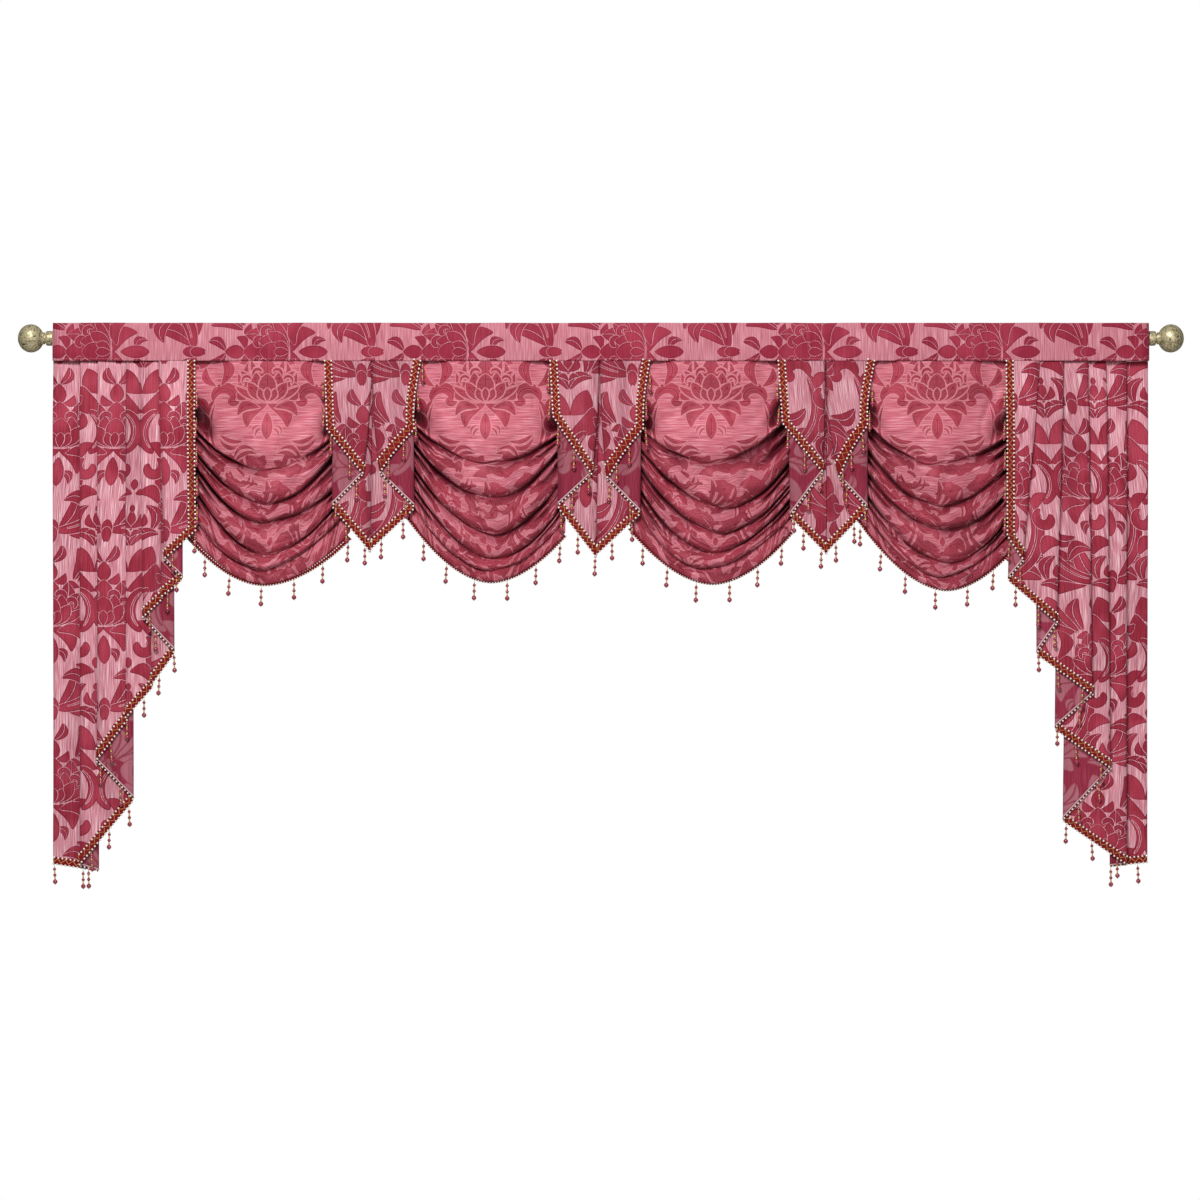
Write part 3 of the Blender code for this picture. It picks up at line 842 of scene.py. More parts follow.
class Tree:
    """The geometry trees that turn lines of points into beads, cords, stitches and drops."""

    @staticmethod
    def start(name: str, *sizes: str) -> tuple:
        """A tree with one geometry input and named sizes, and the function that adds to it."""
        inputs = {"Geometry": GEOMETRY, **dict.fromkeys(sizes, FLOAT)}
        group = new_group(name, "GeometryNodeTree", inputs, {"Geometry": GEOMETRY})
        return (*group, partial(add_socket, group[0]))

    @staticmethod
    def paths(add: Callable, given: dict[str, Signal], pitch: Signal) -> NodeSocket:
        """The given lines as curves, with a point at every pitch."""
        curve = add("GeometryNodeMeshToCurve", {0: given["Geometry"]})
        return add("GeometryNodeResampleCurve", {"Curve": curve, "Length": pitch}, mode="LENGTH")

    @staticmethod
    def finish(
        tree: NodeTree, result: Node, parts: Sequence[tuple[object, Finish]]
    ) -> NodeTree:
        """Realizes each part, gives it its finish, and joins all of them into the output."""
        join = add_node(tree, "GeometryNodeJoinGeometry")
        for geometry, finish in parts:
            whole = add_socket(tree, "GeometryNodeRealizeInstances", {0: geometry})
            smooth = add_socket(tree, "GeometryNodeSetShadeSmooth", {0: whole})
            look = {"Geometry": smooth, "Material": finish_material(finish)}
            feed(tree, join.inputs[0], add_socket(tree, "GeometryNodeSetMaterial", look))
        feed(tree, result.inputs[0], join.outputs[0])
        return tree

    @staticmethod
    @lru_cache(maxsize=None)
    def bead_rows() -> NodeTree:
        """Seed beads side by side along lines."""
        tree, given, result, add = Tree.start("seed bead rows", "Pitch", "Radius")
        sphere = {"Segments": 8, "Rings": 5, "Radius": given["Radius"]}
        bead = add("GeometryNodeMeshUVSphere", sphere)
        line = Tree.paths(add, given, given["Pitch"])
        row = add("GeometryNodeInstanceOnPoints", {"Points": line, "Instance": bead})
        return Tree.finish(tree, result, [(row, Finish.PEARL)])

    @staticmethod
    @lru_cache(maxsize=None)
    def zigzag() -> NodeTree:
        """A cord that runs from side to side of a line, along the attribute named across."""
        tree, given, result, add = Tree.start("zigzag cord", "Leg", "Reach", "Radius")
        line = Tree.paths(add, given, given["Leg"])
        across = add("GeometryNodeInputNamedAttribute", {"Name": ACROSS}, data_type="FLOAT_VECTOR")
        count = Signal(tree, add("GeometryNodeInputIndex"))
        side = count.maths("FLOORED_MODULO", 2.0) * 2.0 - 1.0
        reach = {0: across, "Scale": side * given["Reach"]}
        shift = add("ShaderNodeVectorMath", reach, operation="SCALE")
        moved = add("GeometryNodeSetPosition", {"Geometry": line, "Offset": shift})
        circle = {"Resolution": 5, "Radius": given["Radius"]}
        ring = add("GeometryNodeCurvePrimitiveCircle", circle)
        cord = add("GeometryNodeCurveToMesh", {0: moved, 1: ring, "Fill Caps": True})
        return Tree.finish(tree, result, [(cord, Finish.CORD)])

    @staticmethod
    @lru_cache(maxsize=None)
    def stitches() -> NodeTree:
        """Short stitches end to end along lines."""
        tree, given, result, add = Tree.start("stitches", "Pitch", "Length", "Radius")
        sphere = {"Segments": 6, "Rings": 4, "Radius": given["Radius"]}
        stitch = add("GeometryNodeMeshUVSphere", sphere)
        stretch = {"X": 1.0, "Y": 1.0, "Z": given["Length"] / given["Radius"] * 0.5}
        longer = add("ShaderNodeCombineXYZ", stretch)
        long_stitch = add("GeometryNodeTransform", {"Geometry": stitch, "Scale": longer})
        tangent = {"Vector": add("GeometryNodeInputTangent")}
        turn = add("FunctionNodeAlignRotationToVector", tangent, axis="Z")
        line = Tree.paths(add, given, given["Pitch"])
        each = {"Points": line, "Instance": long_stitch, "Rotation": turn}
        row = add("GeometryNodeInstanceOnPoints", each)
        return Tree.finish(tree, result, [(row, Finish.STITCH)])

    @staticmethod
    @lru_cache(maxsize=None)
    def bead_drops() -> NodeTree:
        """A drop of threaded beads that hangs from each point, a little out of plumb."""
        tree, given, result, add = Tree.start("beaded drops", "Swing")
        swing = given["Swing"]
        low = add("ShaderNodeCombineXYZ", {"X": swing * -0.5, "Y": swing * -1.0})
        high = add("ShaderNodeCombineXYZ", {"X": swing * 0.5, "Y": swing})
        ends = {0: low, 1: high, "Seed": DROP_SEED}
        turn = add("FunctionNodeRandomValue", ends, data_type="FLOAT_VECTOR")
        parts = []
        for finish in (Finish.RUBY, Finish.GOLD):
            join = add_node(tree, "GeometryNodeJoinGeometry")
            for bead in (b for b in DROP_BEADS if b.finish is finish):
                sphere = {"Segments": 10, "Rings": 7, "Radius": bead.radius * MM}
                ball = add("GeometryNodeMeshUVSphere", sphere)
                place = {"Translation": (0, 0, -bead.below * MM), "Scale": (1, 1, bead.stretch)}
                low_ball = add("GeometryNodeTransform", {"Geometry": ball, **place})
                feed(tree, join.inputs[0], low_ball)
            parts.append((join.outputs[0], finish))
        cylinder = {"Vertices": 6, "Radius": THREAD_RADIUS * MM, "Depth": DROP_LENGTH * MM}
        thread = add("GeometryNodeMeshCylinder", cylinder)
        middle = (0, 0, -DROP_LENGTH / 2 * MM)
        hung = add("GeometryNodeTransform", {"Geometry": thread, "Translation": middle})
        points = add("GeometryNodeMeshToPoints", {0: given["Geometry"]})
        rows = []
        for part, finish in (*parts, (hung, Finish.THREAD)):
            each = {"Points": points, "Instance": part, "Rotation": turn}
            rows.append((add("GeometryNodeInstanceOnPoints", each), finish))
        return Tree.finish(tree, result, rows)

    @staticmethod
    def grow(seed: Object, tree: NodeTree, **sizes: float) -> Object:
        """Runs a tree on an object and replaces the object by the mesh that comes out.

        Args:
            seed: The lines or points that the tree starts from.
            tree: The geometry tree.
            sizes: Its named sizes in millimetres, or in radians for a swing.

        Returns:
            The plain mesh object.
        """
        modifier = seed.modifiers.new("grow", "NODES")
        modifier.node_group = tree
        for item in tree.interface.items_tree:
            if item.in_out == "INPUT" and item.name in sizes:
                scale = 1.0 if item.name == "Swing" else MM
                modifier[item.identifier] = sizes[item.name] * scale
        depsgraph = bpy.context.evaluated_depsgraph_get()
        mesh = bpy.data.meshes.new_from_object(seed.evaluated_get(depsgraph))
        name = mesh.name = seed.name
        seed.modifiers.remove(modifier)
        bpy.data.objects.remove(seed)
        return link_object(name, mesh)


def joined(name: str, parts: list[Object]) -> Object:
    """One object from several, all of them at the origin."""
    with bpy.context.temp_override(
        active_object=parts[0], object=parts[0], selected_editable_objects=parts
    ):
        bpy.ops.object.join()
    parts[0].name = parts[0].data.name = name
    return parts[0]


# --- Braid and beaded drops --------------------------------------------------------------------


class Bead(NamedTuple):
    """A bead of a drop: how far its middle hangs below the drop's root, and its shape."""

    below: float
    radius: float
    finish: Finish
    stretch: float = 1.0


DROP_BEADS = (
    Bead(8.0, 1.7, Finish.GOLD),
    Bead(12.7, 3.7, Finish.RUBY, 0.95),
    Bead(17.6, 1.9, Finish.GOLD),
    Bead(20.9, 2.1, Finish.GOLD),
    Bead(26.3, 3.9, Finish.RUBY, 0.95),
    Bead(31.4, 1.9, Finish.GOLD),
    Bead(34.6, 2.1, Finish.GOLD),
    Bead(41.3, 5.4, Finish.RUBY, 1.0),
    Bead(47.0, 1.3, Finish.GOLD),
)
DROP_LENGTH = 47.5
DROP_SEED = 7
DROP_SWING = math.radians(4)
THREAD_RADIUS = 0.5


class Surface(Protocol):
    """A hung cloth that a braid can follow."""

    def at(self, across: float, drop: float, height: float) -> Vector:
        """The point over a place on the cloth, at a height off its face's side."""


@dataclass(frozen=True)
class Fringe:
    """The braid along a cloth's edge, its two rows of seed beads, its cord and its drops."""

    width: float = 17.2
    overhang: float = 0.0  # how far the braid stands out past the edge's line
    step: float = 2.5
    thickness: float = 1.1
    bead_radius: float = 2.4
    bead_pitch: float = 9.2
    leg: float = 8.6
    cord_reach: float = 4.4
    cord_radius: float = 0.75
    tape: Pair = (3.2, 6.0)
    dome: float = 0.7  # how much the braid's middle stands out
    dome_steps: int = 8
    seat: float = 0.12  # from the cloth's face to the braid's back
    tape_faces: Pair = (0.1, 0.6)  # how far behind the cloth the tape's two faces lie
    outer_beads: Pair = (0.4, 0.7)  # the outer row: in from the edge, and off the braid's back
    inner_beads: Pair = (0.8, 0.5)  # the inner row: in by this share of a bead, and off its front
    cord_rise: float = 0.9  # how far the zigzag cord lies off the braid's front
    drop_clear: Pair = (-0.8, 4.6)  # how far drops hang off the edge, level and upright
    upright: Pair = (0.7, 0.25)  # from which lean an edge counts as upright, and over which run
    drop_seat: float = 0.3  # how far in front of the cloth their threads start
    back_shares: tuple[float, ...] = (1, 0.66, 0.33, 0)  # where the points of its flat back are

    def stations(self, corners: Sequence[Pair]) -> list[tuple]:
        """Walks along an edge on the flat cloth.

        Args:
            corners: The edge's corners as (across, height), with the cloth on its left.

        Returns:
            For each step: the place, the direction inwards for each millimetre of width, and the
            distance along the edge. The directions are mitred near a corner.
        """
        points = [Vector(c) for c in corners]
        ways = [(b - a).normalized() for a, b in zip(points, points[1:])]
        turns = [0.0, *(a.angle_signed(b) * -1 for a, b in zip(ways, ways[1:])), 0.0]
        walked, distance = [], 0.0
        for i, way in enumerate(ways):
            start, end = points[i], points[i + 1]
            length = (end - start).length
            count = max(1, math.ceil(length / self.step))
            inward = Vector((-way.y, way.x))
            for k in range(count + (i == len(ways) - 1)):
                run = length * k / count
                lean = 0.0
                for turn, gone, sign in ((turns[i], run, 1), (turns[i + 1], length - run, -1)):
                    mitre = math.tan(turn / 2)
                    reach = max(2 * self.width * abs(mitre), 1.0)
                    lean += sign * mitre * max(0.0, 1 - gone / reach)
                walked.append((start.lerp(end, run / length), inward + way * lean, distance + run))
            distance += length
        return walked

    def line(
        self, surface: Surface, stations: list[tuple], inwards: float, height: float
    ) -> list[Vector]:
        """A line along the edge, a way in from it and at a height off the cloth."""
        places = [place + inward * inwards for place, inward, _ in stations]
        return [surface.at(place.x, -place.y, height) for place in places]

    def strip(
        self, name: str, surface: Surface, stations: list[tuple],
        section: Sequence[Pair], finish: Finish,
    ) -> Object:
        """A closed band whose section, as (inwards, height), is drawn along the edge."""
        lines = [self.line(surface, stations, *corner) for corner in section]
        count, ring = len(stations), len(section)
        points = [line[k] for k in range(count) for line in lines]
        faces = grid_faces(count, ring, closed=True)
        faces += [tuple(range(ring)), tuple(range((count - 1) * ring, count * ring))[::-1]]
        ob = new_object(name, points, faces, finishes=[finish])
        set_cloth_map(ob, [(s[2], corner[0]) for s in stations for corner in section])
        if signed_volume(ob) < 0:
            ob.data.flip_normals()
        return ob

    def build(
        self, name: str, surface: Surface, corners: Sequence[Pair], pitch: float,
        first: float, node: str,
    ) -> list[Object]:
        """Makes the braid and its beads.

        Args:
            name: The name that the pieces start with.
            surface: The cloth that the braid follows.
            corners: The corners of the cloth's edge.
            pitch: From one drop to the next, along the edge.
            first: How far along the edge the first drop hangs.
            node: The solid that the pieces stand for.

        Returns:
            The pieces.
        """
        stations = self.stations(corners)
        low, high = -self.overhang, self.width - self.overhang
        back, top = FACE + self.seat, FACE + self.thickness
        shares = [k / self.dome_steps for k in range(self.dome_steps + 1)]
        section = [(mix(low, high, k), top + self.dome * math.sin(math.pi * k)) for k in shares]
        section += [(mix(low, high, k), back) for k in self.back_shares]
        band = self.strip(f"{name}_braid", surface, stations, section, Finish.BAND)
        near, far = self.tape
        mid = mix(near, far, 0.5)
        section = [(inwards, -FACE - self.tape_faces[0]) for inwards in (near, mid, far)]
        section += [(inwards, -FACE - self.tape_faces[1]) for inwards in (far, mid, near)]
        tape = self.strip(f"{name}_tape", surface, stations, section, Finish.TAPE)
        (outer, off_back), (inner, off_front) = self.outer_beads, self.inner_beads
        rows = [
            self.line(surface, stations, low + outer, back + off_back),
            self.line(surface, stations, high - inner * self.bead_radius, top + off_front),
        ]
        beads = Tree.grow(
            line_object(f"{name}_beads", rows), Tree.bead_rows(),
            Pitch=self.bead_pitch, Radius=self.bead_radius,
        )
        middle = mix(low, high, 0.5)
        centre = self.line(surface, stations, middle, top + self.cord_rise)
        beside = self.line(surface, stations, middle + 1, top + self.cord_rise)
        cord = line_object(f"{name}_cord", [centre], across=[b - a for a, b in zip(centre, beside)])
        cord = Tree.grow(
            cord, Tree.zigzag(), Leg=self.leg, Reach=self.cord_reach / MM, Radius=self.cord_radius
        )
        drops = self.drops(name, surface, stations, pitch, first)
        bands = joined(f"{name}_braid", [band, tape])
        beadwork = joined(f"{name}_beadwork", [beads, cord, drops])
        return [dress(bands, Slot.TRIM, node), dress(beadwork, Slot.TRIM, node)]

    def drops(
        self, name: str, surface: Surface, stations: list[tuple], pitch: float, first: float
    ) -> Object:
        """The beaded drops at every pitch along the edge."""
        length = stations[-1][2]
        (lean, run), roots, wanted = self.upright, [], first
        for place, inward, distance in stations:
            if distance >= wanted and wanted < length:
                clear = mix(*self.drop_clear, ease((abs(inward.x) - lean) / run))
                spot = place - inward * (self.overhang + clear)
                roots.append(surface.at(spot.x, -spot.y, FACE + self.drop_seat))
                wanted += pitch
        return Tree.grow(
            new_object(f"{name}_drops", roots), Tree.bead_drops(), Swing=DROP_SWING
        )


def line_object(
    name: str, lines: Sequence[Sequence[Vector]], across: Sequence[Vector] | None = None
) -> Object:
    """Lines of loose edges, with an attribute that says which way is across, if given."""
    points, edges = [], []
    for line in lines:
        edges += [(len(points) + k, len(points) + k + 1) for k in range(len(line) - 1)]
        points += line
    ob = new_object(name, points, edges=edges)
    if across:
        attribute = ob.data.attributes.new(ACROSS, "FLOAT_VECTOR", "POINT")
        attribute.data.foreach_set("vector", [c * MM for way in across for c in way])
    return ob


# --- Folded pieces: tails and jabots -----------------------------------------------------------


class Line(NamedTuple):
    """A line down a folded piece: where it is at the top and at its hem, how far below the rod's
    axis its hem is, and the layer in which the cloth comes to it and leaves it. Layer 0 is the
    foremost. A fold changes the layer, and a cut edge or a tuck keeps it. A tuck hides a part of
    the figure.
    """

    top: float
    low: float
    hem: float
    come: float
    leave: float
    hides: float = 0.0

    @property
    def folds(self) -> bool:
        """Whether the cloth turns back at this line."""
        return self.come != self.leave


class Section(NamedTuple):
    """A level cut through folded cloth: its points in plan, with how far along each one is and
    the direction in which its face looks."""

    points: list[Vector]
    along: list[float]
    faces: list[Vector]


TUCK = ((-8, 0), (-3.5, -1.0), (0.4, -1.9), (1.5, -1.3), (0.4, -0.4), (-1.6, 0.4), (-1.4, 1.2),
        (2.5, 0.8), (8, 0))
CUT_BACK = 3.5  # how far the cloth's cut edge stays behind the braid's outer edge
HEM_BACK = CUT_BACK * 1.3  # and its hem, which runs aslant
FOLD_STEPS = 6
FRONT_TOP_Y = -21.0  # the foremost layer, at the seam and well below it
FRONT_LOW_Y = -39.0
FRONT_RUN = 170.0
PITCH_TOP = 3.2  # from layer to layer: at the seam, below it, and low down
PITCH_MID = 6.5
PITCH_LOW = 8.5
PITCH_LOW_AT = 700.0
RIPPLE_RUN = 260.0  # over what height the cloth's bulges grow to their full depth
RIPPLE_AT_SEAM = 0.15  # the share of it that they have at the seam
SHORT_RIPPLE, LONG_RIPPLE, ROUGH_RIPPLE = 1.1, 2.2, 2.2  # and how deep that is

TONE_SHADE = 0.35  # how much the painted shade of a panel wanders
LINE_SHADE = 0.2  # how dark the painted shade is along its fold lines, and how wide that shade is
LINE_REACH = 14.0
SEAM_SHADE = 0.08  # and the same for the painted shadow under the heading's edge
SEAM_REACH = 18.0


@dataclass(frozen=True)
class FoldedPiece:
    """A tail or jabot: one cloth folded back and forth, with a braid along its cut edges."""

    name: str
    lines: tuple[Line, ...]
    braided: tuple[bool, bool]
    figure_at: Pair  # a figure's heart, along the cloth and above the rod's axis
    first_drop: float
    drop_pitch: float
    panel_step: float = 10.0
    row_step: float = 14.0
    opening: float = 1.0  # 1 where the lines run straight, and more where they part low down
    seed: float = 0.0
    shade: float = 0.0  # painted shade: how much of its light the swags on both sides of it take

    @property
    def way(self) -> int:
        """1 where the cloth runs towards +X, and -1 where it runs towards -X."""
        return 1 if self.lines[-1].low > self.lines[0].low else -1

    def layer_y(self, layer: float, drop: float) -> float:
        """The depth of a layer at a height: the folds open and lean forward downwards."""
        below = drop - TOP
        front = mix(FRONT_TOP_Y, FRONT_LOW_Y, ease(below / FRONT_RUN))
        pitch = mix(PITCH_TOP, PITCH_MID, ease(below / FRONT_RUN))
        pitch += (PITCH_LOW - PITCH_MID) * ease((below - FRONT_RUN) / PITCH_LOW_AT)
        return front + layer * pitch

    def line_x(self, line: Line, drop: float) -> float:
        """Where a line is at a height."""
        share = min(max((drop - TOP) / (line.hem - TOP), 0), 1)
        return mix(line.top, line.low, share**self.opening if line.folds else share)

    @property
    def marks(self) -> list[int]:
        """The number of the section's point that lies on each line."""
        found, count = [0], 0
        for at in range(1, len(self.lines) - 1):
            count += self.panel_count(at - 1)
            steps = FOLD_STEPS if self.lines[at].folds else len(TUCK) - 1
            found.append(count + steps // 2)
            count += steps
        return [*found, count + self.panel_count(len(self.lines) - 2)]

    def panel_count(self, at: int) -> int:
        """How many steps cross the panel that follows a line."""
        width = abs(self.lines[at + 1].low - self.lines[at].low)
        return max(2, math.ceil(width / self.panel_step))

    def ripple(self, x: float, drop: float) -> float:
        """How far the hang of the cloth bulges at a place: little at the seam, more below."""
        below = ease((drop - TOP) / RIPPLE_RUN)
        wave = math.sin(x / 23 + self.seed) * SHORT_RIPPLE
        wave += math.sin(x / 51 + drop / RIPPLE_RUN + self.seed) * LONG_RIPPLE
        rough = wobble(x / 42, drop / 120, self.seed) * ROUGH_RIPPLE
        return (wave + rough) * mix(RIPPLE_AT_SEAM, 1.0, below)

    @lru_cache(maxsize=None)
    def section(self, level: int) -> Section:
        """The level cut at a whole number of millimetres below the rod's axis."""
        plan: list[Pair] = []
        last = len(self.lines) - 1
        for at in range(last):
            line, after = self.lines[at], self.lines[at + 1]
            way = math.copysign(1, after.low - line.low)
            ends = []
            for end, side in ((at, 1), (at + 1, -1)):
                trim = 0.0
                if 0 < end < last:
                    here = self.lines[end]
                    half = (self.layer_y(abs(here.leave - here.come) / 2, level)
                            - self.layer_y(0, level))
                    trim = half if here.folds else abs(TUCK[0][0])
                ends.append(self.line_x(self.lines[end], level) + side * way * trim)
            depths = self.layer_y(line.leave, level), self.layer_y(after.come, level)
            count = self.panel_count(at)
            for k in range(0 if at == 0 else 1, count + 1):
                plan.append((mix(*ends, k / count), mix(*depths, k / count)))
            if at + 1 == last:
                continue
            x, y = plan[-1]
            if after.folds:
                end_y = self.layer_y(after.leave, level)
                half = abs(end_y - y) / 2
                for k in range(1, FOLD_STEPS + 1):
                    turn = math.pi * k / FOLD_STEPS
                    plan.append((x + way * half * math.sin(turn),
                                 mix(y, end_y, (1 - math.cos(turn)) / 2)))
            else:
                start = TUCK[0]
                plan += [(x + way * (p[0] - start[0]), y + p[1]) for p in TUCK[1:]]
        points = [Vector((x, y - self.ripple(x, level))) for x, y in plan]
        along, faces = [0.0], []
        for a, b in zip(points, points[1:]):
            along.append(along[-1] + (b - a).length)
        for k in range(len(points)):
            run = points[min(k + 1, len(points) - 1)] - points[max(k - 1, 0)]
            faces.append(Vector((run.y, -run.x)).normalized() * self.way)
        return Section(points, along, faces)

    def at(self, across: float, drop: float, height: float) -> Vector:
        """The point over a place on the cloth, at a height off its face's side."""
        points, along, faces = self.section(round(drop))
        k = min(max(bisect_right(along, across) - 1, 0), len(along) - 2)
        share = (across - along[k]) / (along[k + 1] - along[k])
        spot = points[k].lerp(points[k + 1], share)
        face = faces[k].lerp(faces[k + 1], min(max(share, 0), 1)).normalized()
        return Vector((*(spot + face * height), -drop))

    @property
    def hems(self) -> list[float]:
        """How far below the rod's axis the hem is at each point of a section."""
        marks = self.marks
        along = self.section(round(max(line.hem for line in self.lines))).along
        hems = []
        for k, gone in enumerate(along):
            at = min(bisect_right(marks, k) - 1, len(marks) - 2)
            start, end = along[marks[at]], along[marks[at + 1]]
            share = (gone - start) / (end - start)
            hems.append(mix(self.lines[at].hem, self.lines[at + 1].hem, share))
        return hems

    def corners(self) -> list[Pair]:
        """The corners of the braided edge on the flat cloth, as (across, height)."""
        corners = []
        hems = self.hems
        for mark in self.marks:
            drop = hems[mark]
            corners.append((self.section(round(drop)).along[mark], -drop))
        if self.braided[0]:
            corners.insert(0, (0.0, -TOP))
        if self.braided[1]:
            corners.append((self.section(round(TOP)).along[-1], -TOP))
        return corners

    def build(self) -> list[Object]:
        hems, marks = self.hems, self.marks
        rows = math.ceil((max(hems) - TOP) / self.row_step) + 1
        points, places, painted_shades = [], [], []
        for row in range(rows):
            for k, hem in enumerate(hems):
                drop = mix(TOP, hem - HEM_BACK, row / (rows - 1))
                section = self.section(round(drop))
                spot, along = section.points[k], section.along
                if self.braided[0] and k == 0 or self.braided[1] and k == len(hems) - 1:
                    inner = section.points[1 if k == 0 else k - 1]
                    spot = spot + (inner - spot).normalized() * CUT_BACK
                points.append((spot.x, spot.y, -drop))
                # Painted shade: from the swags beside it, wandering across the panels, along the
                # fold lines and under the heading's edge.
                tone = wobble(spot.x / 34, drop / 420, self.seed + 5)
                near = min(abs(along[k] - along[mark]) for mark in marks[1:-1])
                shade = self.shade + TONE_SHADE * max(tone, 0)
                shade += LINE_SHADE * ease(1 - near / LINE_REACH)
                painted_shades.append(shade + SEAM_SHADE * ease(1 - (drop - TOP) / SEAM_REACH))
                hidden = sum(line.hides for line, mark in zip(self.lines, marks) if k > mark)
                across = self.way * (along[k] + hidden - self.figure_at[0])
                places.append((across, -drop - self.figure_at[1]))
        cloth = new_cloth(
            f"{self.name}_cloth", self.name, Finish.HANGING, (rows, len(hems)), points, places,
            painted_shades, flip=self.way < 0,
        )
        trims = Fringe().build(
            self.name, self, self.corners(), self.drop_pitch, self.first_drop,
            f"{self.name}_fringe",
        )
        width = max(self.section(drop).along[-1] for drop in range(round(TOP), round(max(hems))))
        width * MM
        (max(hems) - TOP) * MM
        return [cloth, *trims]


def jabot(
    index: int, figure_at: Pair, first_drop: float, drop_pitch: float, *lines: Line
) -> FoldedPiece:
    """A jabot: its pleats part low down, and both its sides are cut and braided."""
    return FoldedPiece(
        f"jabot_{index}", lines, (True, True), figure_at, first_drop, drop_pitch,
        opening=2.5, seed=index + 2.0, shade=0.2,
    )


FOLDED_PIECES = (
    FoldedPiece("tail_left", (
        Line(-926, -922, 440, 0, 0),
        Line(-1008, -992, 506, 0, 1),
        Line(-953, -953, 550, 1, 2),
        Line(-1000, -1000, 592, 1.85, 1.85, 24),
        Line(-1052, -1042, 639, 1, 2),
        Line(-974, -974, 717, 3, 4),
        Line(-1022, -1024, 794, 3.4, 3.4, 214),
        Line(-1081, -1081, 867, 2.4, 2.4, 130),
        Line(-1147, -1147, 965, 1, 2),
        Line(-1068, -1068, 1054, 3.6, 4.6),
        Line(-1188, -1188, 1204, 2, 3),
        Line(-1147, -1147, 1218, 4, 5),
        Line(-1250, -1250, 1200, 3, 3),
    ), (True, False), (70.0, -250.0), 62.0, 66.0, seed=1.0),
    FoldedPiece("tail_right", (
        Line(924, 924, 452, 0, 0),
        Line(1001, 960, 509, 0, 1),
        Line(937, 928, 552, 1, 2),
        Line(1056, 1038, 650, 1, 2),
        Line(992, 995, 721, 3, 4),
        Line(1111, 1120, 814, 2, 3),
        Line(1047, 1038, 892, 4.3, 5.3),
        Line(1153, 1163, 983, 3, 4),
        Line(1070, 1058, 1103, 5.8, 6.8),
        Line(1200, 1202, 1204, 4, 5),
        Line(1166, 1166, 1209, 5.8, 6.8),
        Line(1250, 1250, 1198, 5, 5),
    ), (True, False), (13.0, -365.0), 64.0, 69.0, seed=2.0),
    jabot(
        1, (83.0, -300.0), 38.0, 67.0,
        Line(-630, -623, 210, 0, 0),
        Line(-524, -543, 311, 0, 1),
        Line(-611, -612, 385, 1, 2),
        Line(-522, -527, 490, 2, 2, 292),
        Line(-427, -425, 388, 2, 1),
        Line(-520, -501, 310, 1, 0),
        Line(-411, -424, 210, 0, 0),
    ),
    jabot(
        2, (-152.0, -300.0), 22.0, 64.0,
        Line(-116, -109, 180, 0, 0),
        Line(-5, -23, 312, 0, 1),
        Line(-98, -98, 385, 1, 2),
        Line(-5, -13, 502, 2, 2, 45),
        Line(91, 89, 401, 2, 1),
        Line(-1, 15, 322, 1, 0),
        Line(111, 97, 208, 0, 0),
    ),
    jabot(
        3, (-56.0, -90.0), 44.0, 59.0,
        Line(404, 413, 196, 0, 0),
        Line(510, 503, 308, 0, 1),
        Line(428, 432, 408, 1, 2),
        Line(511, 513, 495, 2, 2, 295),
        Line(607, 607, 390, 2, 1),
        Line(514, 544, 319, 1, 0),
        Line(624, 607, 201, 0, 0),
    ),
)


# --- Swags -------------------------------------------------------------------------------------


class FoldLine(NamedTuple):
    """A groove across a swag, under a fold: how far below the rod's axis it runs at the left
    side, at its lowest point and at the right side, and where that point is from the swag's
    middle.
    """

    left: float
    low_x: float
    low: float
    right: float


# A fold's section from groove to groove: the share of the way down, and the share of the fold's
# depth, in the middle where it is soft and at the sides where it is pinched.
FOLD_SECTION = (
    (0.04, -0.9, -1.0), (0.13, -0.7, -0.85), (0.28, -0.2, -0.2), (0.46, 0.35, 0.4),
    (0.64, 0.85, 0.85), (0.79, 1.0, 1.0), (0.90, 0.65, 0.85), (0.97, -0.1, 0.3), (1.0, -0.6, -0.5),
)
# How deep each fold is, from the topmost down, at the sides and in the middle.
FOLD_DEPTHS = ((13, 5), (12, 9), (11, 10), (11, 10), (10, 9), (8, 8))
DEPTH_WANDER = 0.9  # how far it strays from that, as a share
CREST = (0.9, 0.7)  # how far a fold's crest stands out, in the middle and at the sides
GROOVE = (0.5, 2.2)  # and how far its groove goes in
FOLD_HIDES = (40.0, 52.0)  # how much of the figure a groove takes in
FOLD_SHIFTS = 61.0  # and how far it shifts it sideways, where the cloth is gathered
LAST_FOLD = 0.6  # how much of its depth the fold over the hem has
POCKET = 22.0  # how far the cloth is drawn in at its sides, over the first fold
POCKET_AT, POCKET_SPREAD = 0.84, 0.2  # where that is on the way down that fold, and how wide
POCKET_END = 0.95  # where on that way it is over
POCKET_FROM, POCKET_RUN = 0.5, 0.4  # from how far out it grows, and over which share
TOP_LIFT = 10.0  # how far the sewn edge lies in front of the sides
LIFT_ENDS = 62.0  # how far from the sides it has come back, under the braids beside it
LIFT_RAMP = 40.0
LIFT_RUN = 0.22  # share of the way down over which it comes back
SPLIT_AT = 0.46  # the place in a fold's section that goes in where the fold splits in two
SPLIT_FROM = 0.3  # how far out from the middle, as a share, a fold starts to do so
SPLIT_WANDER = 0.3  # how far that strays
SPLIT_RUN = 0.5  # over which share the split grows
SPLIT_DEPTH = (1.1, 1.9)  # how deep it gets, as its noise goes from 0 to 1
